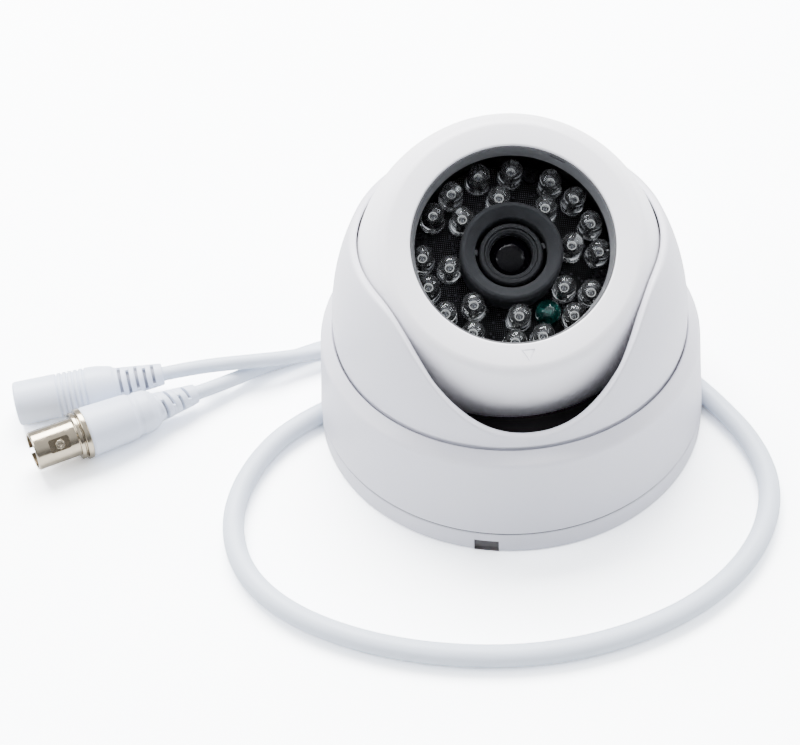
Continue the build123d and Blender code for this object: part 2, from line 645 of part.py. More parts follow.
# board-to-board header between the LED board and the sensor board
with BuildPart() as board_link_header:
    with BuildSketch(BALL.offset(SB_TOP)):
        with Locations((0, 14.5)):
            Rectangle(12.7, 2.5)
    extrude(amount=PCB_TOP - PCB_T - SB_TOP)
board_link_header.part.label = "board_link_header"
export_step(board_link_header.part, "parts/board_link_header.step")

# ============================================================ LENS
with BuildPart() as lens_holder:
    with BuildSketch(BALL.offset(SB_TOP)):
        RectangleRounded(21.0, 15.6, 1.5)
    extrude(amount=3.4)
    with BuildSketch(BALL.offset(SB_TOP + 3.4)):
        Circle(7.5)
    extrude(amount=9.8)
    with BuildSketch(BALL.offset(SB_TOP)):
        Rectangle(11.4, 10.4)
    extrude(amount=2.4, mode=Mode.SUBTRACT)
    with BuildSketch(BALL.offset(SB_TOP + 2.4)):
        Rectangle(8.2, 7.8)
    extrude(amount=1.0, mode=Mode.SUBTRACT)
    with BuildSketch(BALL.offset(SB_TOP + 3.4)):
        Circle(LENS_THREAD_R + 0.05)
    extrude(amount=9.8, mode=Mode.SUBTRACT)
lens_holder.part.label = "lens_holder"
export_step(lens_holder.part, "parts/lens_holder.step")

with BuildPart() as ir_filter:
    with BuildSketch(BALL.offset(SB_TOP + 1.7)):
        Rectangle(8.8, 8.4)
    extrude(amount=0.7)
ir_filter.part.label = "ir_filter"
export_step(ir_filter.part, "parts/ir_filter.step")

with BuildPart() as lens_barrel:
    with BuildSketch(BALL_PROFILE):
        with BuildLine():
            Polyline((3.4, -3.6), (5.6, -3.6), (LENS_THREAD_R, -3.2), (LENS_THREAD_R, 5.6), (LENS_HEAD_R, 5.6),
                     (LENS_HEAD_R, 12.2), (6.8, 12.6), (5.9, 12.6), (5.9, 11.8), (5.0, 11.8), (5.0, 8.0),
                     (3.6, 8.0), (3.6, 0.4), (3.4, 0.4), close=True)
        make_face()
    revolve(axis=LENS_AXIS)
lens_barrel.part.label = "lens_barrel"
export_step(lens_barrel.part, "parts/lens_barrel.step")

with BuildPart() as lens_front_glass:
    with BuildSketch(BALL_PROFILE):
        with BuildLine():
            Polyline((0, 8.1), (4.95, 8.1), (4.95, 9.4), (4.6, 9.4))
            ThreePointArc(*cap(4.6, 9.4, 1.55))
            Line((0, 10.95), (0, 8.1))
        make_face()
    revolve(axis=LENS_AXIS)
lens_front_glass.part.label = "lens_front_glass"
export_step(lens_front_glass.part, "parts/lens_front_glass.step")

with BuildPart() as lens_retainer:
    with BuildSketch(BALL_PROFILE):
        with BuildLine():
            Polyline((4.95, 9.5), (4.65, 9.5), (4.65, 11.7), (5.6, 12.4), (5.85, 12.4), (5.85, 11.85), (4.95, 11.85), close=True)
        make_face()
    revolve(axis=LENS_AXIS)
lens_retainer.part.label = "lens_retainer"
export_step(lens_retainer.part, "parts/lens_retainer.step")

with BuildPart() as lens_rear_glass:
    with BuildSketch(BALL_PROFILE):
        with BuildLine():
            Line((0, 0.4), (3.55, 0.4))
            Line((3.55, 0.4), (3.55, 2.0))
            ThreePointArc(*cap(3.55, 2.0, 1.1))
            Line((0, 3.1), (0, 0.4))
        make_face()
    revolve(axis=LENS_AXIS)
lens_rear_glass.part.label = "lens_rear_glass"
export_step(lens_rear_glass.part, "parts/lens_rear_glass.step")

# ============================================================ CABLE ENTRY
with BuildPart() as cable_grommet:
    with BuildSketch(Plane(origin=(EXIT.X + 3.0 * EXIT_DIR.X, EXIT.Y + 3.0 * EXIT_DIR.Y, 0), x_dir=(EXIT_DIR.Y, -EXIT_DIR.X, 0), z_dir=EXIT_DIR)):
        with Locations((0, -2.65)):
            RectangleRounded(7.2, 5.3, 1.0)
    extrude(amount=-8.5)
    # flush with the rim
    with BuildSketch(Plane.XY):
        Circle(BASE_TOP_R)
    extrude(amount=6.0, mode=Mode.INTERSECT)
    with BuildSketch(Plane(origin=EXIT + EXIT_DIR * 4.0, x_dir=CHANNEL.y_dir, z_dir=EXIT_DIR)):
        Circle(CABLE_D / 2 + 0.03)
    extrude(amount=-10.0, mode=Mode.SUBTRACT)
cable_grommet.part.label = "cable_grommet"
export_step(cable_grommet.part, "parts/cable_grommet.step")

LEAD_Z = FLOOR_TOP + CABLE_D / 2 + 0.1
CLAMP_SCREWS = ((CLAMP_S, 4.7), (CLAMP_S, -4.7))
STRAP_TOP = LEAD_Z + CABLE_D / 2 + 0.9
clamp_start = EXIT - EXIT_DIR * (CLAMP_S - 4.0)
with BuildPart() as cable_clamp:
    with BuildSketch(CHANNEL.offset(FLOOR_TOP)):
        with Locations(*CLAMP_SCREWS):
            Circle(2.0)
    extrude(amount=2.4)
    with BuildSketch(CHANNEL.offset(FLOOR_TOP + 2.4)):
        with Locations((CLAMP_S, 0)):
            RectangleRounded(6.0, 13.4, 1.0)
    extrude(amount=STRAP_TOP - FLOOR_TOP - 2.4)
    with BuildSketch(CHANNEL.offset(FLOOR_TOP)):
        with Locations(*CLAMP_SCREWS):
            Circle(1.12)
    extrude(amount=8.0, mode=Mode.SUBTRACT)
    with BuildSketch(CHANNEL.offset(STRAP_TOP - 1.2)):
        with Locations(*CLAMP_SCREWS):
            Circle(1.95)
    extrude(amount=2.0, mode=Mode.SUBTRACT)
    with BuildSketch(Plane(origin=(clamp_start.X, clamp_start.Y, LEAD_Z), x_dir=CHANNEL.y_dir, z_dir=-EXIT_DIR)):
        Circle(CABLE_D / 2)
    extrude(amount=8.0, mode=Mode.SUBTRACT)
cable_clamp.part.label = "cable_clamp"
export_step(cable_clamp.part, "parts/cable_clamp.step")

with BuildPart() as clamp_screws:
    with BuildSketch(CHANNEL.offset(STRAP_TOP - 1.2)):
        with Locations(*CLAMP_SCREWS):
            Circle(1.9)
    extrude(amount=1.2)
    with BuildSketch(CHANNEL.offset(FLOOR_Z + 0.2)):
        with Locations(*CLAMP_SCREWS):
            Circle(1.08)
    extrude(amount=STRAP_TOP - 1.2 - FLOOR_Z - 0.2)
clamp_screws.part.label = "clamp_screws"
export_step(clamp_screws.part, "parts/clamp_screws.step")

# the cable's own tail inside the base, held by the grommet and the clamp
def along(s, z):
    p = EXIT - EXIT_DIR * s
    return (p.X, p.Y, z)

inner_pts = [along(0, EXIT.Z), along(8.6, EXIT.Z), along(19.0, LEAD_Z), along(31.5, LEAD_Z)]
with BuildPart() as inner_lead:
    with BuildLine() as route:
        FilletPolyline(*inner_pts, radius=[10.5, 13.0])
    with BuildSketch(Plane(origin=inner_pts[0], z_dir=-EXIT_DIR)):
        Circle(CABLE_D / 2 - 0.02)
    sweep(path=route.wires()[0])
inner_lead.part.label = "inner_lead"
export_step(inner_lead.part, "parts/inner_lead.step")

with BuildPart() as lead_plug:
    with BuildSketch(Plane(origin=inner_pts[-1], x_dir=CHANNEL.y_dir, z_dir=-EXIT_DIR)):
        Rectangle(5.2, 4.2)
    extrude(amount=7.0)
lead_plug.part.label = "lead_plug"
export_step(lead_plug.part, "parts/lead_plug.step")

# ============================================================ CORDS
def radii_for(points):
    out = []
    for a, b, c in zip(points, points[1:], points[2:]):
        a, b, c = Vector(*a), Vector(*b), Vector(*c)
        turn = (b - a).get_angle(c - b)
        out.append(0.45 * min((b - a).length, (c - b).length) / tan(radians(turn / 2)))
    return out

# the splitter lies in the hollow under the base
SPLIT_HEAD = 176.0
SPLIT_LEN = 22.0
SPL_DIR = Vector(cos(radians(SPLIT_HEAD)), sin(radians(SPLIT_HEAD)), 0)
SPL_SIDE = Vector(SPL_DIR.Y, -SPL_DIR.X, 0)
spl_in = Vector(13.0, 17.3, 2.5)
spl_dc = spl_in + SPL_DIR * SPLIT_LEN - SPL_SIDE * 2.3 - Vector(0, 0, 0.5)
spl_bnc = spl_in + SPL_DIR * SPLIT_LEN + SPL_SIDE * 2.3 - Vector(0, 0, 0.5)

dc_end = Vector(-85.4, 16.4, 5.5)
dc_mouth = Vector(-121.7, 11.0, 5.5)
DC_DIR = (dc_end - dc_mouth).normalized()
bnc_end = Vector(-77.2, 9.4, 4.6)
bnc_mouth = Vector(-116.0, -7.2, 7.35)
BNC_DIR = (bnc_end - bnc_mouth).normalized()

def xyz(v):
    return (v.X, v.Y, v.Z)

main_pts = [
    xyz(EXIT), xyz(EXIT + EXIT_DIR * 8.5), (-61.4, -11.3, 2.5), (-66.9, -21.3, 2.5), (-69.3, -33.0, 2.5),
    (-66.6, -46.6, 2.5), (-57.4, -58.4, 2.5), (-42.6, -67.8, 2.5), (-24.5, -74.0, 2.5), (-4.0, -76.6, 2.5),
    (16.0, -74.2, 2.5), (34.6, -66.8, 2.5), (48.5, -54.6, 2.5), (55.9, -39.4, 2.5), (55.4, -24.2, 2.5),
    (49.6, -10.4, 2.5), (42.2, 2.4, 2.5), (34.2, 11.2, 2.5), xyz(spl_in - SPL_DIR * 12.0), xyz(spl_in)]
dc_pts = [
    xyz(spl_dc), xyz(spl_dc + SPL_DIR * 10.0), (-30.5, 20.0, 3.0), (-43.6, 20.7, 3.7), (-53.8, 18.2, 5.1),
    (-62.0, 16.6, 6.7), (-71.0, 16.4, 6.9), xyz(dc_end + DC_DIR * 7.0), xyz(dc_end)]
bnc_pts = [
    xyz(spl_bnc), xyz(spl_bnc + SPL_DIR * 10.0), (-31.0, 25.0, 1.85), (-43.5, 24.6, 1.85), (-53.0, 21.4, 1.85),
    (-61.8, 18.4, 1.85), xyz(bnc_end + BNC_DIR * 7.5), xyz(bnc_end)]

def report_route(name, pts, dia, solid):
    rr = radii_for(pts)
    length = solid.volume / (pi * dia * dia / 4)
    runs = [(Vector(*b) - Vector(*a)).length for a, b in zip(pts, pts[1:])]
    turns = [(Vector(*b) - Vector(*a)).get_angle(Vector(*c) - Vector(*b)) for a, b, c in zip(pts, pts[1:], pts[2:])]
    print(name, "tube length from volume %.1f" % length, "runs", [round(v, 1) for v in runs])
    print("   radii", [round(v, 1) for v in rr], "turns", [round(v, 1) for v in turns])

with BuildPart() as main_cable:
    with BuildLine() as route:
        FilletPolyline(*main_pts, radius=radii_for(main_pts))
    with BuildSketch(Plane(origin=main_pts[0], z_dir=Vector(*main_pts[1]) - Vector(*main_pts[0]))):
        Circle(CABLE_D / 2)
    sweep(path=route.wires()[0])
main_cable.part.label = "main_cable"
export_step(main_cable.part, "parts/main_cable.step")
report_route("main_cable", main_pts, CABLE_D, main_cable.part)
print("   wire", route.wires()[0].length)

with BuildPart() as power_pigtail:
    with BuildLine() as route:
        FilletPolyline(*dc_pts, radius=radii_for(dc_pts))
    with BuildSketch(Plane(origin=dc_pts[0], z_dir=Vector(*dc_pts[1]) - Vector(*dc_pts[0]))):
        Circle(PIGTAIL_D / 2)
    sweep(path=route.wires()[0])
power_pigtail.part.label = "power_pigtail"
export_step(power_pigtail.part, "parts/power_pigtail.step")
report_route("power_pigtail", dc_pts, PIGTAIL_D, power_pigtail.part)
print("   wire", route.wires()[0].length)

with BuildPart() as video_pigtail:
    with BuildLine() as route:
        FilletPolyline(*bnc_pts, radius=radii_for(bnc_pts))
    with BuildSketch(Plane(origin=bnc_pts[0], z_dir=Vector(*bnc_pts[1]) - Vector(*bnc_pts[0]))):
        Circle(PIGTAIL_D / 2)
    sweep(path=route.wires()[0])
video_pigtail.part.label = "video_pigtail"
export_step(video_pigtail.part, "parts/video_pigtail.step")
report_route("video_pigtail", bnc_pts, PIGTAIL_D, video_pigtail.part)
print("   wire", route.wires()[0].length)

# Y-splitter, a soft moulding over the joint
SPLITTER = Plane(origin=(spl_in.X, spl_in.Y, 0.0), x_dir=SPL_DIR, z_dir=(0, 0, 1))
with BuildPart() as y_splitter:
    with BuildSketch(SPLITTER):
        with BuildLine():
            Polyline((0, -3.2), (7.0, -3.8), (14.0, -5.0), (SPLIT_LEN, -4.8), (SPLIT_LEN, 4.8), (14.0, 5.0), (7.0, 3.8), (0, 3.2), close=True)
        make_face()
    extrude(amount=5.1)
    chamfer(y_splitter.edges().group_by(Axis.Z)[-1], length=0.7)
y_splitter.part.label = "y_splitter"
export_step(y_splitter.part, "parts/y_splitter.step")

# ============================================================ POWER JACK
DC = Plane(origin=dc_mouth, x_dir=DC_DIR, z_dir=Vector(DC_DIR.Y, -DC_DIR.X, 0))
DC_AXIS = Axis(dc_mouth, DC_DIR)
L = (dc_end - dc_mouth).length
dc_prof = [(9.6, 0), (9.6, 3.55), (0.0, 3.55), (0.0, 5.2), (0.5, 5.5), (10.2, 5.5)]
for k in range(5):
    s0 = 10.2 + k * 1.55
    dc_prof += [(s0, 5.5), (s0 + 0.35, 5.15), (s0 + 0.75, 5.15), (s0 + 1.1, 5.5)]
dc_prof += [(18.2, 5.45), (25.0, 4.2)]
for k in range(5):
    s0 = 25.6 + k * 2.1
    ro = 3.5 - 0.16 * k
    dc_prof += [(s0, ro), (s0 + 1.1, ro), (s0 + 1.1, ro - 0.8), (s0 + 2.1, ro - 0.8)]
dc_prof += [(L, 2.6), (L, 0)]
seen = []
for p in dc_prof:
    if not seen or (abs(seen[-1][0] - p[0]) > 1e-6 or abs(seen[-1][1] - p[1]) > 1e-6):
        seen.append(p)
with BuildPart() as dc_jack_body:
    with BuildSketch(DC):
        with BuildLine():
            Polyline(*seen, close=True)
        make_face()
    revolve(axis=DC_AXIS)
dc_jack_body.part.label = "dc_jack_body"
export_step(dc_jack_body.part, "parts/dc_jack_body.step")

with BuildPart() as dc_jack_sleeve:
    with BuildSketch(DC):
        with BuildLine():
            Polyline((0.8, 3.15), (9.0, 3.15), (9.0, 0), (9.6, 0), (9.6, 3.55), (0.8, 3.55), close=True)
        make_face()
    revolve(axis=DC_AXIS)
dc_jack_sleeve.part.label = "dc_jack_sleeve"
export_step(dc_jack_sleeve.part, "parts/dc_jack_sleeve.step")

with BuildPart() as dc_jack_pin:
    with BuildSketch(DC):
        with BuildLine():
            Polyline((1.4, 0), (1.8, 1.0), (9.0, 1.0), (9.0, 0), close=True)
        make_face()
    revolve(axis=DC_AXIS)
dc_jack_pin.part.label = "dc_jack_pin"
export_step(dc_jack_pin.part, "parts/dc_jack_pin.step")

# ============================================================ VIDEO JACK
bnc_side = Vector(BNC_DIR.Y, -BNC_DIR.X, 0).normalized()
BNC = Plane(origin=bnc_mouth, x_dir=BNC_DIR, z_dir=bnc_side)
BNC_AXIS = Axis(bnc_mouth, BNC_DIR)
LB = (bnc_end - bnc_mouth).length
with BuildPart() as bnc_barrel:
    with BuildSketch(BNC):
        with BuildLine():
            Polyline((0.0, 4.1), (0.3, 4.8), (10.6, 4.8), (10.6, 5.9), (11.5, 5.9), (11.5, 5.3), (12.0, 5.3), (12.0, 6.4),
                     (13.4, 6.4), (13.4, 2.45), (11.0, 2.45), (11.0, 4.1), close=True)
        make_face()
    revolve(axis=BNC_AXIS)
    # two bayonet studs
    for sgn in (1, -1):
        with BuildSketch(Plane(origin=bnc_mouth + BNC_DIR * 6.2 + BNC.y_dir * 4.4 * sgn, x_dir=BNC_DIR, z_dir=BNC.y_dir * sgn)):
            Circle(0.95)
        extrude(amount=1.05)
    # key slot in the mouth
    with BuildSketch(Plane(origin=bnc_mouth, x_dir=BNC_DIR, z_dir=bnc_side)):
        with Locations((0, 0)):
            Rectangle(2.4, 1.7)
    extrude(amount=6.0, mode=Mode.SUBTRACT)
bnc_barrel.part.label = "bnc_barrel"
export_step(bnc_barrel.part, "parts/bnc_barrel.step")

with BuildPart() as bnc_insulator:
    with BuildSketch(BNC):
        with BuildLine():
            Polyline((5.2, 0.75), (5.2, 2.4), (13.4, 2.4), (13.4, 0.75), close=True)
        make_face()
    revolve(axis=BNC_AXIS)
bnc_insulator.part.label = "bnc_insulator"
export_step(bnc_insulator.part, "parts/bnc_insulator.step")

with BuildPart() as bnc_contact:
    with BuildSketch(BNC):
        with BuildLine():
            Polyline((4.6, 0.35), (4.6, 0.7), (13.4, 0.7), (13.4, 0), (8.0, 0), (8.0, 0.35), close=True)
        make_face()
    revolve(axis=BNC_AXIS)
bnc_contact.part.label = "bnc_contact"
export_step(bnc_contact.part, "parts/bnc_contact.step")

bp = [(13.4, 0), (13.4, 6.0), (14.2, 6.2), (24.0, 5.75), (27.2, 5.5), (27.8, 5.1), (28.4, 5.1), (28.9, 5.35), (31.2, 5.2), (34.0, 3.7)]
for k in range(4):
    s0 = 34.2 + k * 2.0
    ro = 3.35 - 0.2 * k
    bp += [(s0, ro), (s0 + 1.1, ro), (s0 + 1.1, ro - 0.6), (s0 + 2.0, ro - 0.6)]
bp += [(LB, 2.2), (LB, 0)]
with BuildPart() as bnc_overmold:
    with BuildSketch(BNC):
        with BuildLine():
            Polyline(*bp, close=True)
        make_face()
    revolve(axis=BNC_AXIS)
bnc_overmold.part.label = "bnc_overmold"
export_step(bnc_overmold.part, "parts/bnc_overmold.step")
print("LB", LB, "L", L)
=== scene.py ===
import bpy
import bmesh
import random
from math import sin, cos, tan, radians, pi, sqrt, atan2, asin, acos
from mathutils import Matrix, Vector


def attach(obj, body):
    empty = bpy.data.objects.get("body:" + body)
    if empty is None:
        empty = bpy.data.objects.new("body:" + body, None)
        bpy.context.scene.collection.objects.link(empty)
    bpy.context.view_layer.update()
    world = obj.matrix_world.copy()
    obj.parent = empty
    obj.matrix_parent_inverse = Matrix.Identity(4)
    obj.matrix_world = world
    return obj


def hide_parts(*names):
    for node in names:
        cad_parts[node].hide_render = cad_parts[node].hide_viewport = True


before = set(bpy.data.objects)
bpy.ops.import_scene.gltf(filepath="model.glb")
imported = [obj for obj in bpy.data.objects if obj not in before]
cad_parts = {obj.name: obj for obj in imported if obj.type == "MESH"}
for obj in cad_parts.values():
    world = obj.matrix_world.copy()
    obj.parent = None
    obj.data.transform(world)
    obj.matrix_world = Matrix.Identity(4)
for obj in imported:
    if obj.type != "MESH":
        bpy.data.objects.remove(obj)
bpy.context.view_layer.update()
MM = 0.001

# ------------------------------------------------------------------ camera
cam_data = bpy.data.cameras.new("Camera")
cam_data.sensor_width = 36.0
cam_data.lens = 74.25
cam_data.clip_start = 0.01
cam_data.clip_end = 20.0
cam = bpy.data.objects.new("Camera", cam_data)
bpy.context.scene.collection.objects.link(cam)
right = Vector((0.99488, -0.08215, -0.05883))
up = Vector((0.09992, 0.71312, 0.69389))
back = Vector((-0.01505, -0.69622, 0.71767))
cm = Matrix.Identity(4)
for i in range(3):
    cm[i][0], cm[i][1], cm[i][2] = right[i], up[i], back[i]
cm[0][3], cm[1][3], cm[2][3] = -0.032464, -0.276355, 0.299253
cam.matrix_world = cm
bpy.context.scene.camera = cam

# ------------------------------------------------------------------ materials
def new_mat(name):
    m = bpy.data.materials.new(name)
    m.use_nodes = True
    nt = m.node_tree
    for n in list(nt.nodes):
        nt.nodes.remove(n)
    out = nt.nodes.new("ShaderNodeOutputMaterial")
    bs = nt.nodes.new("ShaderNodeBsdfPrincipled")
    nt.links.new(bs.outputs["BSDF"], out.inputs["Surface"])
    return m, nt, bs, out

def obj_coord(nt):
    return nt.nodes.new("ShaderNodeTexCoord").outputs["Object"]

def noise(nt, scale, detail=3.0, rough=0.5, vec=None):
    n = nt.nodes.new("ShaderNodeTexNoise")
    n.inputs["Scale"].default_value = scale
    n.inputs["Detail"].default_value = detail
    n.inputs["Roughness"].default_value = rough
    nt.links.new(vec if vec is not None else obj_coord(nt), n.inputs["Vector"])
    return n.outputs["Fac"]

def ramp(nt, fac, stops):
    r = nt.nodes.new("ShaderNodeValToRGB")
    els = r.color_ramp.elements
    while len(els) < len(stops):
        els.new(0.5)
    for e, (p, c) in zip(els, stops):
        e.position = p
        e.color = (c[0], c[1], c[2], 1.0)
    nt.links.new(fac, r.inputs["Fac"])
    return r.outputs["Color"]

def maprange(nt, fac, a, b, lo=0.0, hi=1.0):
    m = nt.nodes.new("ShaderNodeMapRange")
    m.inputs["From Min"].default_value = lo
    m.inputs["From Max"].default_value = hi
    m.inputs["To Min"].default_value = a
    m.inputs["To Max"].default_value = b
    nt.links.new(fac, m.inputs["Value"])
    return m.outputs["Result"]

def bump(nt, bs, height, strength, dist):
    b = nt.nodes.new("ShaderNodeBump")
    b.inputs["Strength"].default_value = strength
    b.inputs["Distance"].default_value = dist
    nt.links.new(height, b.inputs["Height"])
    nt.links.new(b.outputs["Normal"], bs.inputs["Normal"])
    return b

def plastic(name, c, rough=0.4, var=0.03, grain=2500.0, bstr=0.06, spec=0.5, coat=0.0, rvar=0.05, sub=0.0, tint=None):
    m, nt, bs, out = new_mat(name)
    c2 = tint if tint else tuple(max(0.0, x * (1 - var)) for x in c)
    big = noise(nt, 38.0, 4.0, 0.6)
    nt.links.new(ramp(nt, big, [(0.3, c2), (0.7, c)]), bs.inputs["Base Color"])
    fine = noise(nt, grain, 3.0, 0.6)
    nt.links.new(maprange(nt, noise(nt, 260.0, 3.0), rough - rvar, rough + rvar, 0.3, 0.7), bs.inputs["Roughness"])
    bs.inputs["Specular IOR Level"].default_value = spec
    bs.inputs["Coat Weight"].default_value = coat
    bs.inputs["Coat Roughness"].default_value = 0.15
    if sub:
        bs.inputs["Subsurface Weight"].default_value = sub
        bs.inputs["Subsurface Radius"].default_value = (0.004, 0.004, 0.004)
        bs.inputs["Subsurface Scale"].default_value = 0.5
    bump(nt, bs, fine, bstr, 0.00004)
    return m

def metal(name, c, rough=0.2, var=0.08, aniso=0.0, grain=900.0, bstr=0.05):
    m, nt, bs, out = new_mat(name)
    c2 = tuple(x * (1 - var) for x in c)
    nt.links.new(ramp(nt, noise(nt, 400.0, 4.0), [(0.3, c2), (0.7, c)]), bs.inputs["Base Color"])
    bs.inputs["Metallic"].default_value = 1.0
    nt.links.new(maprange(nt, noise(nt, 700.0, 4.0), rough * 0.7, rough * 1.4, 0.3, 0.7), bs.inputs["Roughness"])
    bump(nt, bs, noise(nt, grain, 3.0), bstr, 0.00002)
    return m

def clear(name, tint=(1, 1, 1), ior=1.5, rough=0.02, dust=0.0):
    m, nt, bs, out = new_mat(name)
    bs.inputs["Base Color"].default_value = (*tint, 1)
    bs.inputs["Transmission Weight"].default_value = 1.0
    bs.inputs["IOR"].default_value = ior
    nt.links.new(maprange(nt, noise(nt, 900.0, 3.0), rough * 0.5, rough * 1.6, 0.3, 0.7), bs.inputs["Roughness"])
    bump(nt, bs, noise(nt, 500.0, 2.0), 0.02, 0.00002)
    return m

def sheet_glass(name, ior=1.45, tint=(0.97, 0.98, 0.99)):
    """a thin flat window: straight-through, with a reflection that grows towards grazing angles"""
    m = bpy.data.materials.new(name)
    m.use_nodes = True
    nt = m.node_tree
    for n in list(nt.nodes):
        nt.nodes.remove(n)
    out = nt.nodes.new("ShaderNodeOutputMaterial")
    tr = nt.nodes.new("ShaderNodeBsdfTransparent")
    tr.inputs["Color"].default_value = (*tint, 1)
    gl = nt.nodes.new("ShaderNodeBsdfGlossy")
    gl.inputs["Color"].default_value = (1, 1, 1, 1)
    nt.links.new(maprange(nt, noise(nt, 300.0, 4.0), 0.02, 0.07, 0.3, 0.7), gl.inputs["Roughness"])
    fr = nt.nodes.new("ShaderNodeFresnel")
    fr.inputs["IOR"].default_value = ior
    half = nt.nodes.new("ShaderNodeMath")
    half.operation = "MULTIPLY_ADD"
    half.use_clamp = True
    half.inputs[1].default_value = 0.7
    half.inputs[2].default_value = -0.05
    nt.links.new(fr.outputs["Fac"], half.inputs[0])
    mix = nt.nodes.new("ShaderNodeMixShader")
    nt.links.new(half.outputs["Value"], mix.inputs["Fac"])
    nt.links.new(tr.outputs["BSDF"], mix.inputs[1])
    nt.links.new(gl.outputs["BSDF"], mix.inputs[2])
    nt.links.new(mix.outputs["Shader"], out.inputs["Surface"])
    return m

# housing white is a darker copy of the ball's white plastic: painted shade for walls that face away from the top light
M_HOUSE_SHADED = plastic("housing_white_painted_shade", (0.665, 0.665, 0.735), rough=0.42, var=0.012, grain=2600.0, bstr=0.07, spec=0.4, sub=0.0)
M_BALL = plastic("ball_white", (0.90, 0.895, 0.95), rough=0.36, var=0.012, grain=2600.0, bstr=0.05, spec=0.42)
M_CABLE = plastic("cable_white", (0.63, 0.69, 0.79), rough=0.45, var=0.02, grain=1600.0, bstr=0.08, spec=0.35, rvar=0.06)
M_MOULD = plastic("moulded_white", (0.68, 0.735, 0.86), rough=0.38, var=0.02, grain=1800.0, bstr=0.08, spec=0.4)
M_SPLIT = plastic("splitter_white", (0.76, 0.79, 0.85), rough=0.45, var=0.03)
M_DARK = plastic("dark_grey_ring", (0.085, 0.088, 0.096), rough=0.5, var=0.25, grain=2000.0, bstr=0.15, spec=0.3)
M_SHADE = plastic("black_sleeve", (0.003, 0.003, 0.0035), rough=0.6, var=0.3, spec=0.08)
M_FOAM = plastic("foam_grey", (0.050, 0.051, 0.055), rough=0.8, var=0.35, grain=3000.0, bstr=0.9, spec=0.12)
M_BARREL = plastic("lens_black_anodised", (0.030, 0.0305, 0.033), rough=0.45, var=0.2, grain=3000.0, bstr=0.12, spec=0.2)
M_INNER = plastic("inner_black_plastic", (0.03, 0.03, 0.033), rough=0.5, var=0.25)
M_SEAT_SHADE = plastic("seat_black_darkened_for_shade", (0.007, 0.006, 0.007), rough=0.7, var=0.25, spec=0.06)
M_RUBBER = plastic("black_rubber", (0.02, 0.02, 0.02), rough=0.7, var=0.3)
M_GREEN = plastic("green_board", (0.02, 0.14, 0.06), rough=0.35, var=0.3, grain=1500.0)
M_IVORY = plastic("ivory_connector", (0.62, 0.58, 0.48), rough=0.45, var=0.06)
M_STEEL = metal("screw_steel", (0.62, 0.62, 0.64), rough=0.3)
M_BRASS = metal("brass", (0.75, 0.56, 0.26), rough=0.25)
M_NICKEL = metal("nickel_warm", (0.44, 0.385, 0.295), rough=0.17, var=0.10)
M_NICKEL_IN = metal("nickel_shadow", (0.13, 0.095, 0.06), rough=0.35, var=0.2)
M_INSUL = plastic("insulator_brown", (0.09, 0.07, 0.05), rough=0.5, var=0.15)
M_POCKET_SHADE = plastic("pocket_painted_shade", (0.11, 0.104, 0.106), rough=0.6, var=0.1, spec=0.2)
M_SEAM = plastic("seam_shadow", (0.03, 0.028, 0.03), rough=0.8, var=0.2, spec=0.1)
M_WALL_IN_SHADE = plastic("inner_wall_painted_shade", (0.20, 0.195, 0.21), rough=0.6, var=0.05, spec=0.2)
M_BLACKSTEEL = plastic("black_screw", (0.008, 0.008, 0.009), rough=0.45, var=0.2, spec=0.15)
M_SILVER = metal("led_reflector", (0.70, 0.70, 0.68), rough=0.2, var=0.1)
M_LED = clear("led_epoxy", (0.97, 0.97, 0.96), 1.53, 0.02)
for n_ in M_LED.node_tree.nodes:
    if n_.type == "BSDF_PRINCIPLED":
        n_.inputs["Transmission Weight"].default_value = 0.97
        n_.inputs["Coat Weight"].default_value = 0.5
        n_.inputs["Coat Roughness"].default_value = 0.02
M_WINDOW = sheet_glass("window_clear")
M_CHIP = plastic("image_chip", (0.12, 0.13, 0.16), rough=0.2, var=0.3)
M_DARKGROOVE = plastic("groove_shadow", (0.30, 0.31, 0.36), rough=0.6, var=0.05)

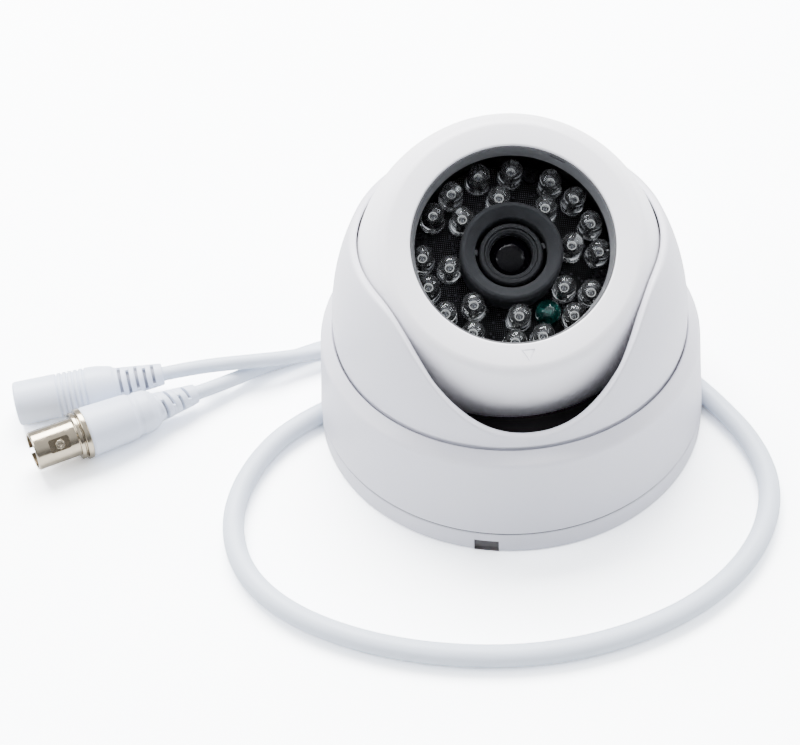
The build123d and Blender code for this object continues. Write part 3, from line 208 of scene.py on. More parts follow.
def board_mat():
    m, nt, bs, out = new_mat("black_board")
    tc = obj_coord(nt)
    mp = nt.nodes.new("ShaderNodeMapping")
    mp.vector_type = "POINT"
    mp.inputs["Rotation"].default_value = (radians(-32.0), 0, 0)
    nt.links.new(tc, mp.inputs["Vector"])
    sc = nt.nodes.new("ShaderNodeVectorMath")
    sc.operation = "SCALE"
    sc.inputs["Scale"].default_value = 2200.0
    nt.links.new(mp.outputs["Vector"], sc.inputs[0])
    sep = nt.nodes.new("ShaderNodeSeparateXYZ")
    nt.links.new(sc.outputs["Vector"], sep.inputs["Vector"])
    parts = []
    for ax in ("X", "Y"):
        fr = nt.nodes.new("ShaderNodeMath"); fr.operation = "FRACT"
        nt.links.new(sep.outputs[ax], fr.inputs[0])
        sb = nt.nodes.new("ShaderNodeMath"); sb.operation = "SUBTRACT"; sb.inputs[1].default_value = 0.5
        nt.links.new(fr.outputs[0], sb.inputs[0])
        pw = nt.nodes.new("ShaderNodeMath"); pw.operation = "POWER"; pw.inputs[1].default_value = 2.0
        nt.links.new(sb.outputs[0], pw.inputs[0])
        parts.append(pw.outputs[0])
    ad = nt.nodes.new("ShaderNodeMath"); ad.operation = "ADD"
    nt.links.new(parts[0], ad.inputs[0]); nt.links.new(parts[1], ad.inputs[1])
    lt = nt.nodes.new("ShaderNodeMath"); lt.operation = "LESS_THAN"; lt.inputs[1].default_value = 0.055
    nt.links.new(ad.outputs[0], lt.inputs[0])
    patch = maprange(nt, noise(nt, 90.0, 3.0), 0.25, 1.0, 0.42, 0.56)
    mul = nt.nodes.new("ShaderNodeMath"); mul.operation = "MULTIPLY"
    nt.links.new(lt.outputs[0], mul.inputs[0]); nt.links.new(patch, mul.inputs[1])
    nt.links.new(ramp(nt, mul.outputs[0], [(0.0, (0.0025, 0.0025, 0.003)), (1.0, (0.10, 0.104, 0.112))]), bs.inputs["Base Color"])
    nt.links.new(maprange(nt, noise(nt, 700.0), 0.3, 0.5, 0.3, 0.7), bs.inputs["Roughness"])
    bs.inputs["Specular IOR Level"].default_value = 0.10
    bump(nt, bs, mul.outputs[0], 0.25, 0.00003)
    return m
M_BOARD = board_mat()

def teal_mat():
    m, nt, bs, out = new_mat("light_sensor_teal")
    nt.links.new(ramp(nt, noise(nt, 260.0, 2.0), [(0.3, (0.001, 0.012, 0.011)), (0.5, (0.008, 0.10, 0.082)), (0.72, (0.08, 0.40, 0.34))]), bs.inputs["Base Color"])
    nt.links.new(maprange(nt, noise(nt, 800.0), 0.05, 0.14, 0.3, 0.7), bs.inputs["Roughness"])
    bs.inputs["Transmission Weight"].default_value = 0.35
    bs.inputs["IOR"].default_value = 1.5
    bs.inputs["Coat Weight"].default_value = 0.6
    return m
M_TEAL = teal_mat()

def lens_glass_painted_sheen():
    m, nt, bs, out = new_mat("coated_lens_glass_painted_sheen")
    # base colour turns purple towards grazing angles: painted sheen standing in for the coating's reflection
    lw = nt.nodes.new("ShaderNodeLayerWeight")
    lw.inputs["Blend"].default_value = 0.35
    mixed = nt.nodes.new("ShaderNodeMath"); mixed.operation = "ADD"
    nt.links.new(lw.outputs["Facing"], mixed.inputs[0])
    nt.links.new(maprange(nt, noise(nt, 300.0), -0.05, 0.05, 0.3, 0.7), mixed.inputs[1])
    nt.links.new(ramp(nt, mixed.outputs[0], [(0.0, (0.0015, 0.0012, 0.002)), (0.45, (0.003, 0.002, 0.005)), (0.8, (0.008, 0.005, 0.016))]), bs.inputs["Base Color"])
    bs.inputs["Roughness"].default_value = 0.04
    bs.inputs["Specular IOR Level"].default_value = 0.16
    bs.inputs["Coat Weight"].default_value = 0.0
    return m
M_GLASS_SHEEN = lens_glass_painted_sheen()

# ------------------------------------------------------------------ geometry helpers
COL = bpy.context.scene.collection

def rounded(pts, radii, n=6, closed=True):
    """2-D polyline with its corners rounded; radii is one value or one per point"""
    m = len(pts)
    if not isinstance(radii, (list, tuple)):
        radii = [radii] * m
    out = []
    for i in range(m):
        p = Vector(pts[i])
        if (not closed and i in (0, m - 1)) or radii[i] <= 0:
            out.append((p.x, p.y))
            continue
        a = Vector(pts[(i - 1) % m]) - p
        b = Vector(pts[(i + 1) % m]) - p
        la, lb = a.length, b.length
        a, b = a / la, b / lb
        ang = acos(max(-1, min(1, a.dot(b))))
        if ang > radians(178):
            out.append((p.x, p.y))
            continue
        t = min(radii[i] / tan(ang / 2), la * 0.48, lb * 0.48)
        r = t * tan(ang / 2)
        bis = (a + b).normalized()
        c = p + bis * (r / sin(ang / 2))
        p0, p1 = p + a * t, p + b * t
        v0, v1 = p0 - c, p1 - c
        a0 = atan2(v0.y, v0.x)
        a1 = atan2(v1.y, v1.x)
        d = a1 - a0
        while d > pi: d -= 2 * pi
        while d < -pi: d += 2 * pi
        for k in range(n + 1):
            th = a0 + d * k / n
            out.append((c.x + r * cos(th), c.y + r * sin(th)))
    return out

def arc_pts(c, r, a0, a1, n):
    return [(c[0] + r * cos(radians(a0 + (a1 - a0) * k / n)), c[1] + r * sin(radians(a0 + (a1 - a0) * k / n))) for k in range(n + 1)]

class Fr:
    """a frame: origin in mm, x and y across, z along the axis"""
    def __init__(self, o, x, z):
        self.o = Vector(o)
        self.z = Vector(z).normalized()
        x = Vector(x)
        self.x = (x - self.z * x.dot(self.z)).normalized()
        self.y = self.z.cross(self.x)
    def p(self, u, v, d):
        return (self.o + self.x * u + self.y * v + self.z * d) * MM
    def off(self, u, v, d):
        f = Fr(self.o + self.x * u + self.y * v + self.z * d, self.x, self.z)
        return f

def make(name, verts, faces, mat, body, smooth=35.0, replaces=()):
    me = bpy.data.meshes.new(name)
    me.from_pydata([tuple(v) for v in verts], [], faces)
    me.validate()
    me.update()
    if smooth:
        for p in me.polygons:
            p.use_smooth = True
        me.set_sharp_from_angle(angle=radians(smooth))
    ob = bpy.data.objects.new(name, me)
    COL.objects.link(ob)
    mats = mat if isinstance(mat, (list, tuple)) else [mat]
    for mm in mats:
        me.materials.append(mm)
    if body:
        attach(ob, body)
    if replaces:
        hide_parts(*([replaces] if isinstance(replaces, str) else replaces))
    return ob

def lathe_data(fr, prof, segs=128, closed=True, warp=None, base=0):
    """verts and faces of a profile [(r, s)] turned about fr's axis"""
    verts, faces, rings = [], [], []
    for r, s in prof:
        if r < 1e-6:
            verts.append(fr.p(0, 0, s))
            rings.append([base + len(verts) - 1])
        else:
            ring = []
            for k in range(segs):
                th = 2 * pi * k / segs
                u, v, d = r * cos(th), r * sin(th), s
                if warp:
                    u, v, d = warp(u, v, d, th)
                verts.append(fr.p(u, v, d))
                ring.append(base + len(verts) - 1)
            rings.append(ring)
    m = len(rings)
    last = m if closed else m - 1
    for i in range(last):
        a, b = rings[i], rings[(i + 1) % m]
        if len(a) == 1 and len(b) == 1:
            continue
        for k in range(segs):
            k2 = (k + 1) % segs
            if len(a) == 1:
                faces.append((a[0], b[k2], b[k]))
            elif len(b) == 1:
                faces.append((a[k], a[k2], b[0]))
            else:
                faces.append((a[k], a[k2], b[k2], b[k]))
    return verts, faces

def fix_normals(ob):
    bm = bmesh.new()
    bm.from_mesh(ob.data)
    bmesh.ops.recalc_face_normals(bm, faces=bm.faces)
    bm.to_mesh(ob.data)
    bm.free()
    ob.data.update()

def lathe(name, fr, prof, mat, body, segs=128, closed=True, warp=None, smooth=35.0, replaces=()):
    v, f = lathe_data(fr, prof, segs, closed, warp)
    ob = make(name, v, f, mat, body, smooth, replaces)
    fix_normals(ob)
    ob.data.set_sharp_from_angle(angle=radians(smooth))
    return ob

def cutter(verts, faces):
    me = bpy.data.meshes.new("cut")
    me.from_pydata([tuple(v) for v in verts], [], faces)
    me.update()
    bm = bmesh.new(); bm.from_mesh(me)
    bmesh.ops.recalc_face_normals(bm, faces=bm.faces)
    bm.to_mesh(me); bm.free()
    ob = bpy.data.objects.new("cut", me)
    COL.objects.link(ob)
    return ob

def prism(fr, poly, d0, d1):
    n = len(poly)
    v = [fr.p(x, y, d0) for x, y in poly] + [fr.p(x, y, d1) for x, y in poly]
    f = [tuple(range(n))[::-1], tuple(range(n, 2 * n))] + [(i, (i + 1) % n, n + (i + 1) % n, n + i) for i in range(n)]
    return v, f

def boolean(ob, cutters, op="DIFFERENCE", smooth=35.0):
    for c in cutters:
        md = ob.modifiers.new("b", "BOOLEAN")
        md.operation = op
        md.solver = "EXACT"
        md.object = c
    dg = bpy.context.evaluated_depsgraph_get()
    me = bpy.data.meshes.new_from_object(ob.evaluated_get(dg))
    ob.modifiers.clear()
    old = ob.data
    ob.data = me
    me.name = old.name + "_m"
    for c in cutters:
        bpy.data.objects.remove(c)
    for p in me.polygons:
        p.use_smooth = True
    me.set_sharp_from_angle(angle=radians(smooth))
    return ob

def circle_poly(r, n=24, cx=0.0, cy=0.0):
    return [(cx + r * cos(2 * pi * k / n), cy + r * sin(2 * pi * k / n)) for k in range(n)]

def rect_poly(w, h, cx=0.0, cy=0.0):
    return [(cx - w / 2, cy - h / 2), (cx + w / 2, cy - h / 2), (cx + w / 2, cy + h / 2), (cx - w / 2, cy + h / 2)]

def az(r, a, z=0.0):
    return Vector((r * sin(radians(a)), -r * cos(radians(a)), z))

Z = Fr((0, 0, 0), (1, 0, 0), (0, 0, 1))
ZC = 44.6
ELEV = 58.0
G = Vector((0, -cos(radians(ELEV)), sin(radians(ELEV))))
BF = Fr((0, 0, ZC), (1, 0, 0), G)

# ------------------------------------------------------------------ cords
EXIT = Vector((-46.2, 0.6, 2.5))
ED = Vector((cos(radians(208.0)), sin(radians(208.0)), 0))
SD = Vector((cos(radians(176.0)), sin(radians(176.0)), 0))
SS = Vector((SD.y, -SD.x, 0))
spl_in = Vector((13.0, 17.3, 2.5))
spl_dc = spl_in + SD * 22.0 - SS * 2.3 - Vector((0, 0, 0.5))
spl_bnc = spl_in + SD * 22.0 + SS * 2.3 - Vector((0, 0, 0.5))
dc_end = Vector((-85.4, 16.4, 5.5))
dc_mouth = Vector((-121.7, 11.0, 5.5))
DCD = (dc_end - dc_mouth).normalized()
bnc_end = Vector((-77.2, 9.4, 4.6))
bnc_mouth = Vector((-116.0, -7.2, 7.35))
BND = (bnc_end - bnc_mouth).normalized()
main_pts = [
    EXIT, EXIT + ED * 8.5, (-61.4, -11.3, 2.5), (-66.9, -21.3, 2.5), (-69.3, -33.0, 2.5),
    (-66.6, -46.6, 2.5), (-57.4, -58.4, 2.5), (-42.6, -67.8, 2.5), (-24.5, -74.0, 2.5), (-4.0, -76.6, 2.5),
    (16.0, -74.2, 2.5), (34.6, -66.8, 2.5), (48.5, -54.6, 2.5), (55.9, -39.4, 2.5), (55.4, -24.2, 2.5),
    (49.6, -10.4, 2.5), (42.2, 2.4, 2.5), (34.2, 11.2, 2.5), spl_in - SD * 12.0, spl_in]
dc_pts = [
    spl_dc, spl_dc + SD * 10.0, (-30.5, 20.0, 3.0), (-43.6, 20.7, 3.7), (-53.8, 18.2, 5.1),
    (-62.0, 16.6, 6.7), (-71.0, 16.4, 6.9), dc_end + DCD * 7.0, dc_end]
bnc_pts = [
    spl_bnc, spl_bnc + SD * 10.0, (-31.0, 25.0, 1.85), (-43.5, 24.6, 1.85), (-53.0, 21.4, 1.85),
    (-61.8, 18.4, 1.85), bnc_end + BND * 7.5, bnc_end]

def cord(name, pts, dia, node):
    cu = bpy.data.curves.new(name, "CURVE")
    cu.dimensions = "3D"
    cu.bevel_depth = dia / 2 * MM
    cu.bevel_resolution = 8
    cu.resolution_u = 24
    cu.use_fill_caps = True
    sp = cu.splines.new("NURBS")
    sp.points.add(len(pts) - 1)
    for q, p in zip(sp.points, pts):
        q.co = (p[0] * MM, p[1] * MM, p[2] * MM, 1.0)
    sp.order_u = 3
    sp.use_endpoint_u = True
    sp.resolution_u = 24
    sp.use_smooth = True
    cu.materials.append(M_CABLE)
    ob = bpy.data.objects.new(name, cu)
    COL.objects.link(ob)
    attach(ob, "base")
    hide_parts(node)
    return ob

main_cord = cord("main_cord", main_pts, 5.0, "main_cable")
dc_cord = cord("power_cord", dc_pts, 3.6, "power_pigtail")
bnc_cord = cord("video_cord", bnc_pts, 3.6, "video_pigtail")

# ------------------------------------------------------------------ base plate
NOTCH_AZ = -14.0
def base_piece():
    prof = rounded([(41.9, 0.0), (46.5, 0.0), (46.3, 5.6), (43.7, 5.6), (43.7, 8.6), (41.9, 8.6), (41.9, 7.8), (15.0, 7.8), (15.0, 5.6), (41.9, 5.6)],
                   [0.3, 0.5, 0.35, 0, 0.2, 0.2, 0, 0.2, 0.2, 0], n=4)
    ob = lathe("base_body", Z, prof, M_HOUSE_SHADED, "base", segs=240, replaces="base_plate")
    cuts = []
    a = az(1, NOTCH_AZ); t = az(1, NOTCH_AZ + 90.0)
    def boxpts(c, ex, ey, lx, ly, z0, z1):
        pts = []
        for z in (z0, z1):
            for sx, sy in ((-1, -1), (1, -1), (1, 1), (-1, 1)):
                q = c + ex * (sx * lx / 2) + ey * (sy * ly / 2)
                pts.append(Vector((q.x, q.y, z)) * MM)
        faces = [(3, 2, 1, 0), (4, 5, 6, 7), (0, 1, 5, 4), (1, 2, 6, 5), (2, 3, 7, 6), (3, 0, 4, 7)]
        return pts, faces
    cuts.append(cutter(*boxpts(az(44.0, NOTCH_AZ), t, a, 5.7, 10.0, -1.0, 3.5)))
    e = Vector((-ED.x, -ED.y, 0)); n2 = Vector((-e.y, e.x, 0))
    cuts.append(cutter(*boxpts(EXIT + e * 3.0, e, n2, 12.0, 7.4, -1.0, 5.7)))
    for p, q in (((52.0, -14.5), (42.2, 2.4)), ((42.2, 2.4), (34.0, 11.8))):
        pv, qv = Vector((p[0], p[1], 0)), Vector((q[0], q[1], 0))
        dd = (qv - pv); ln = dd.length; dd.normalize()
        cuts.append(cutter(*boxpts((pv + qv) / 2, dd, Vector((-dd.y, dd.x, 0)), ln + 3.0, 6.4, -1.0, 5.59)))
    cuts.append(cutter(*boxpts(Vector((-39.5, 22.6, 0)), Vector((1, 0, 0)), Vector((0, 1, 0)), 19.0, 10.0, -1.0, 5.59)))
    boolean(ob, cuts, smooth=30.0)
    return ob
base_piece()

# the pocket wall seen through the front notch, coloured dark grey as painted shade in the recess
pk = Fr(az(45.1, NOTCH_AZ, 2.75), az(1, NOTCH_AZ + 90.0), az(1, NOTCH_AZ))
v, f = prism(pk, rect_poly(5.68, 5.4), -0.5, 0.5)
make("notch_pocket", v, f, M_POCKET_SHADE, "base", 0)
sk = Fr(az(45.8, NOTCH_AZ, 0.03), az(1, NOTCH_AZ + 90.0), (0, 0, 1))
v, f = prism(sk, rect_poly(5.68, 1.1), 0.0, 0.12)
make("notch_sill", v, f, M_POCKET_SHADE, "base", 0)

# three mounting feet under the floor
for i, a in enumerate((60.0, 180.0, 300.0)):
    c = az(29.0, a)
    lathe("foot_%d" % i, Fr(c, (1, 0, 0), (0, 0, 1)), rounded([(2.25, 0.0), (5.2, 0.0), (5.2, 5.8), (2.25, 5.8)], [0.2, 0.2, 0, 0], n=3), M_HOUSE_SHADED, "base", segs=40)

lathe("seam_line", Z, [(44.5, 5.63), (46.0, 5.63), (46.0, 5.87), (44.5, 5.87)], M_SEAM, "base", segs=240)

# ------------------------------------------------------------------ lower cover
prof = rounded([(44.4, 5.9), (46.25, 5.9), (46.02, 8.5), (44.45, 26.9), (41.7, 29.45), (41.25, 28.6), (41.25, 26.8), (42.65, 26.2), (44.4, 9.2)],
               [0.2, 0.35, 0, 2.3, 0.25, 0.2, 0.2, 0.2, 0], n=8)
lathe("cover_body", Z, prof, M_HOUSE_SHADED, "base", segs=256, replaces="lower_cover")

# ------------------------------------------------------------------ shroud
def lerp_prof(tab, z):
    for (z0, r0), (z1, r1) in zip(tab, tab[1:]):
        if z <= z1:
            t = (z - z0) / (z1 - z0)
            t = max(0.0, t)
            return r0 + (r1 - r0) * t
    return tab[-1][1]

def circ3(a, b, c):
    (ax, ay), (bx, by), (cx, cy) = a, b, c
    d = 2 * (ax * (by - cy) + bx * (cy - ay) + cx * (ay - by))
    ux = ((ax * ax + ay * ay) * (by - cy) + (bx * bx + by * by) * (cy - ay) + (cx * cx + cy * cy) * (ay - by)) / d
    uy = ((ax * ax + ay * ay) * (cx - bx) + (bx * bx + by * by) * (ax - cx) + (cx * cx + cy * cy) * (bx - ax)) / d
    return ux, uy, sqrt((ax - ux) ** 2 + (ay - uy) ** 2)
OC = circ3((41.2, 30.1), (39.75, 43.5), (35.5, 55.6))

def r_out(z):
    if z <= 29.5: return 41.0
    if z <= 30.1: return 41.0 + (z - 29.5) / 0.6 * 0.2
    return OC[0] + sqrt(max(0.0, OC[2] ** 2 - (z - OC[1]) ** 2))

SOCK = 35.4
def r_in(z):
    rs = sqrt(max(1.0, SOCK ** 2 - (z - ZC) ** 2))
    if z >= 50.0: return rs
    if z >= 43.5: return 38.0 + (rs_at50 - 38.0) * (z - 43.5) / 6.5
    if z >= 31.6: return 39.5 + (38.0 - 39.5) * (z - 31.6) / 11.9
    return 39.5
rs_at50 = sqrt(SOCK ** 2 - 5.4 ** 2)

SC = [(0.0, 32.75), (4.3, 33.05), (8.5, 34.2), (12.3, 36.2), (16.6, 39.8), (20.5, 44.4), (24.1, 49.6), (26.4, 53.0), (28.2, 54.8), (30.2, 55.5), (33.0, 55.6), (60.0, 55.6)]
def scoop(x):
    """smooth height of the cut edge, seen from the front"""
    x = abs(x)
    # Catmull-Rom through SC
    pts = [(-SC[1][0], SC[1][1])] + SC + [(61.0, 55.6)]
    for i in range(1, len(pts) - 2):
        if x <= pts[i + 1][0]:
            p0, p1, p2, p3 = pts[i - 1], pts[i], pts[i + 1], pts[i + 2]
            h = p2[0] - p1[0]
            t = (x - p1[0]) / h
            m1 = (p2[1] - p0[1]) / (p2[0] - p0[0]) * h
            m2 = (p3[1] - p1[1]) / (p3[0] - p1[0]) * h
            t2, t3 = t * t, t * t * t
            return (2 * t3 - 3 * t2 + 1) * p1[1] + (t3 - 2 * t2 + t) * m1 + (-2 * t3 + 3 * t2) * p2[1] + (t3 - t2) * m2
    return 55.6

def edge_z(th, rf):
    """height of the cut on a surface r(z) at azimuth th from the front"""
    s = abs(sin(th))
    if cos(th) <= 0:
        return 55.6
    lo, hi = 32.0, 55.6
    if scoop(rf(hi) * s) >= 55.6 - 1e-4:
        return 55.6
    for _ in range(40):
        mid = (lo + hi) / 2
        if scoop(rf(mid) * s) > mid: lo = mid
        else: hi = mid
    return (lo + hi) / 2

def shroud_piece():
    cols = 720
    NO, NI, NL = 26, 16, 10
    verts, faces = [], []
    for k in range(cols):
        th = 2 * pi * k / cols - pi
        dx, dy = sin(th), -cos(th)
        zo, zi = edge_z(th, r_out), edge_z(th, r_in)
        ro, ri = r_out(zo), r_in(zi)
        # the lip's rounding shrinks the two corners
        po, pi_ = (ro, zo), (ri, zi)
        wall = sqrt((ro - ri) ** 2 + (zo - zi) ** 2)
        rad = min(0.8, wall * 0.42)
        # points a little below the corner on each wall
        zo2 = max(24.1, zo - rad); zi2 = max(24.1, zi - rad * 0.8)
        col = []
        col.append((42.1, 23.5)); col.append((42.1, 26.0)); col.append((41.0, 26.0)); col.append((41.0, 29.5)); col.append((41.14, 29.85))
        z0 = 30.1
        for j in range(NO):
            z = z0 + (zo2 - z0) * j / (NO - 1)
            col.append((r_out(z), z))
        a = Vector((r_out(zo2), zo2)); b = Vector(po); c = Vector(pi_); d = Vector((r_in(zi2), zi2))
        # two quadratic corners joined by the flat of the lip
        t = min(0.45, rad / max(wall, 0.01))
        b2 = b + (c - b) * t
        c2 = c + (b - c) * t
        for j in range(1, NL // 2 + 1):
            u = j / (NL // 2)
            q = a * (1 - u) ** 2 + b * 2 * u * (1 - u) + b2 * u * u
            col.append((q.x, q.y))
        for j in range(0, NL // 2 + 1):
            u = j / (NL // 2)
            q = c2 * (1 - u) ** 2 + c * 2 * u * (1 - u) + d * u * u
            col.append((q.x, q.y))
        for j in range(1, NI):
            z = zi2 + (31.6 - zi2) * j / (NI - 1)
            col.append((r_in(z), z))
        col.append((39.5, 23.5))
        base = len(verts)
        for r, z in col:
            verts.append(Vector((r * dx, r * dy, z)) * MM)
        n = len(col)
    for k in range(cols):
        k2 = (k + 1) % cols
        for j in range(n):
            j2 = (j + 1) % n
            faces.append((k * n + j, k2 * n + j, k2 * n + j2, k * n + j2))
    ob = make("shroud_body", verts, faces, M_HOUSE_SHADED, "shroud", 50.0, "shroud")
    fix_normals(ob)
    # inner wall faces get a grey copy of the white plastic: painted shade on the unlit inside of the shroud
    ob.data.materials.append(M_WALL_IN_SHADE)
    first_in = 5 + NO + NL // 2 + NL // 2 + 1
    for p in ob.data.polygons:
        idx = sorted(v % n for v in p.vertices)
        if idx[0] >= first_in - 1 and idx[-1] <= n - 1 and idx[0] > 0:
            p.material_index = 1
    ob.data.set_sharp_from_angle(angle=radians(50.0))
    return ob
shroud_piece()

# seat ring under the ball: black plastic, coloured darker still as painted shade under the ball
lathe("seat_ring_body", Z, rounded([(28.8, 24.0), (38.8, 24.0), (38.8, 29.6), (32.05, 29.6)], [0.3, 0.3, 0.3, 0.3], n=4), M_SEAT_SHADE, "shroud", segs=160, replaces="ball_seat_ring")

# ------------------------------------------------------------------ eyeball
def on(r, d):
    return sqrt(r * r - d * d)
prof = []
R = 35.0
a0 = asin(-3.0 / R)
a1 = asin(18.9 / R)
for k in range(41):
    a = a0 + (a1 - a0) * k / 40
    prof.append((R * cos(a), R * sin(a)))
P1 = Vector((on(R, 18.9), 18.9)); P2 = Vector((28.35, 20.35)); P3 = Vector((26.9, 20.5))
for k in range(1, 9):
    u = k / 8
    q = P1 * (1 - u) ** 2 + P2 * 2 * u * (1 - u) + P3 * u * u
    prof.append((q.x, q.y))
prof += rounded([(26.9, 20.5), (22.3, 20.5), (22.3, 18.5), (24.0, 18.5), (24.0, 4.0), (25.6, 4.0), (25.6, 18.3), (on(33, 18.3), 18.3)],
                [0, 0.4, 0.1, 0.1, 0.2, 0.2, 0.2, 0], n=6, closed=False)[1:]
a2 = asin(18.3 / 33)
a3 = asin(-3.0 / 33)
for k in range(1, 21):
    a = a2 + (a3 - a2) * k / 20
    prof.append((33 * cos(a), 33 * sin(a)))
ball = lathe("ball_front_body", BF, prof, M_BALL, "eyeball", segs=256, replaces="ball_front_shell")
# engraved triangle below the aperture: three straight grooves
tri = [(-0.85, -23.85), (1.75, -23.85), (0.45, -26.35)]
def groove(p, q, w, d0, d1):
    p, q = Vector(p), Vector(q)
    d = (q - p).normalized(); n = Vector((-d.y, d.x))
    p, q = p - d * (w * 0.5), q + d * (w * 0.5)
    poly = [p + n * w / 2, p - n * w / 2, q - n * w / 2, q + n * w / 2]
    return cutter(*prism(BF, [(v.x, v.y) for v in poly], d0, d1))
boolean(ball, [groove(tri[i], tri[(i + 1) % 3], 0.24, 20.25, 21.0) for i in range(3)], smooth=35.0)

# dark ring seen inside the aperture
ob = lathe("window_ring_body", BF, rounded([(21.3, 16.2), (21.95, 20.0), (22.2, 20.0), (22.2, 18.4), (23.8, 18.4), (23.8, 16.2)], [0.1, 0.15, 0.05, 0, 0, 0], n=4),
           M_DARK, "eyeball", segs=192, replaces="window_ring")
sl = BF.off(21.72 * cos(radians(57)), 21.72 * sin(radians(57)), 19.0)
sl = Fr(sl.o, BF.x * -sin(radians(57)) + BF.y * cos(radians(57)), BF.z)
boolean(ob, [cutter(*prism(sl, rect_poly(3.6, 0.66), 0.0, 2.0))], smooth=35.0)

lathe("window_pane", BF, rounded([(0, 15.0), (23.8, 15.0), (23.8, 16.2), (0, 16.2)], [0, 0.1, 0.1, 0], n=2, closed=False), M_WINDOW, "eyeball", segs=128, closed=False, replaces="window")
lathe("shade_sleeve", BF, rounded([(22.7, 5.5), (23.8, 5.5), (23.8, 14.5), (22.7, 14.5)], 0.1, n=2), M_SHADE, "eyeball", segs=128, replaces="led_shade")

# ---- LED board with pads and vias
BT = 5.5
BSCR = [(20.6 * cos(radians(a)), 20.6 * sin(radians(a))) for a in (70.0, 160.7, 252.2, 343.5)]
OUTER = (17.0, 37.0, 56.0, 83.5, 105.5, 126.5, 146.0, 175.5, 195.8, 216.4, 238.0, 266.3, 285.0, 310.0, 329.5, 357.5)
INNER = (4.5, 49.0, 94.5, 135.5, 185.0, 228.0, 271.5, 323.5)
LEDS = [(19.5 * cos(radians(a)), 19.5 * sin(radians(a)), a) for a in OUTER] + [(13.8 * cos(radians(a)), 13.8 * sin(radians(a)), a) for a in INNER]
ob = lathe("led_board_body", BF, rounded([(8.2, 3.9), (23.7, 3.9), (23.7, 5.5), (8.2, 5.5)], 0.08, n=2), M_BOARD, "eyeball", segs=160, replaces="led_board")
random.seed(7)
vv, ff = [], []
for k in range(70):
    for _ in range(30):
        r, a = random.uniform(11.8, 22.2), random.uniform(0, 2 * pi)
        x, y = r * cos(a), r * sin(a)
        if all((x - p[0]) ** 2 + (y - p[1]) ** 2 > 3.2 ** 2 for p in LEDS) and all((x - p[0]) ** 2 + (y - p[1]) ** 2 > 2.2 ** 2 for p in BSCR):
            break
    else:
        continue
    v, f = lathe_data(BF.off(x, y, 0), [(0.0, BT + 0.07), (0.22, BT + 0.06), (0.34, BT + 0.0)], 10, closed=False, base=len(vv))
    vv += v; ff += f
make("board_vias", vv, ff, metal("solder", (0.05, 0.05, 0.055), rough=0.4), "eyeball", 40.0)

# ---- infrared diodes: clear epoxy body, reflector cup, posts
bodyv, bodyf, cupv, cupf, rimv, rimf = [], [], [], [], [], []
for i, (x, y, a) in enumerate(LEDS):
    random.seed(100 + i)
    tx, ty = random.uniform(-0.03, 0.03), random.uniform(-0.03, 0.03)
    f0 = BF.off(x, y, BT)
    ax = (BF.z + BF.x * tx + BF.y * ty)
    f1 = Fr(f0.o, BF.x, ax)
    prof = rounded([(0.0, 0.02), (2.85, 0.02), (2.85, 1.0), (2.5, 1.0), (2.5, 6.1)], [0, 0.12, 0.14, 0.1, 0], n=3, closed=False)
    prof += [(2.5 * cos(radians(t)), 6.1 + 2.5 * sin(radians(t))) for t in (9, 18, 27, 36, 45, 54, 63, 72, 81)] + [(0.0, 8.6)]
    v, f = lathe_data(f1, prof, 40, closed=False, base=len(bodyv))
    bodyv += v; bodyf += f
    # reflector cup on its post
    cp = [(0.0, 4.85), (0.2, 4.85), (0.44, 5.2), (0.56, 5.2), (0.58, 4.7), (0.26, 4.2), (0.22, 0.3), (0.0, 0.3)]
    v, f = lathe_data(f1, cp, 20, closed=False, base=len(cupv))
    cupv += v; cupf += f
    # second lead post with its flag
    ang = radians(a * 3.0 + 40.0)
    sx, sy = 1.1 * cos(ang), 1.1 * sin(ang)
    g = f1.off(sx, sy, 0)
    v, f = prism(Fr(g.o, f1.x * cos(ang) + f1.y * sin(ang), f1.z), rect_poly(0.22, 0.34), 0.3, 3.4)
    o = len(cupv)
    cupv += v; cupf += [tuple(o + q for q in face) for face in f]
    # chip
    v, f = prism(f1, rect_poly(0.26, 0.26), 4.86, 5.0)
    o = len(rimv)
    rimv += v; rimf += [tuple(o + q for q in face) for face in f]
ob = make("led_bodies", bodyv, bodyf, M_LED, "eyeball", 40.0, "ir_leds"); fix_normals(ob); ob.data.set_sharp_from_angle(angle=radians(40))
ob = make("led_cups", cupv, cupf, M_SILVER, "eyeball", 35.0); fix_normals(ob); ob.data.set_sharp_from_angle(angle=radians(35))
make("led_chips", rimv, rimf, M_CHIP, "eyeball", 0)

# ---- light sensor
sx, sy = 14.8 * cos(radians(298)), 14.8 * sin(radians(298))
big = (2.9 ** 2 + 2.2 ** 2) / (2 * 2.2)
prof = rounded([(0, 0.02), (2.9, 0.02), (2.9, 3.0)], [0, 0.15, 0], n=3, closed=False)
for k in range(1, 10):
    x = 2.9 * (1 - k / 9.0)
    prof.append((x, 3.0 + 2.2 - big + sqrt(big * big - x * x)))
lathe("light_sensor_body", BF.off(sx, sy, BT), prof, M_TEAL, "eyeball", segs=40, closed=False, replaces="light_sensor")

# ---- foam ring around the lens
prof = rounded([(8.5, BT), (10.75, BT), (10.75, 7.0), (11.4, 7.3), (11.4, 13.9), (10.9, 14.75), (10.3, 14.9), (8.0, 13.3), (8.0, 7.0), (8.5, 6.8)],
               [0.1, 0.1, 0.2, 0.2, 0.4, 0.3, 0.25, 0.3, 0.1, 0.1], n=5)
lathe("foam_ring_body", BF, prof, M_FOAM, "eyeball", segs=160, replaces="lens_foam_ring")
# two small tabs between the ring and the lens
for i, a in enumerate((12.0, 168.0)):
    ca, sa = cos(radians(a)), sin(radians(a))
    f = Fr(BF.p(7.9 * ca, 7.9 * sa, 9.2) / MM, BF.x * ca + BF.y * sa, BF.z)
    v, fc = prism(f, [(-0.5, -0.7), (0.55, -0.25), (0.55, 0.25), (-0.5, 0.7)], 0.0, 1.3)
    make("focus_tab_%d" % i, v, fc, plastic("tab_grey_%d" % i, (0.25, 0.25, 0.26), rough=0.4), "eyeball", 0)

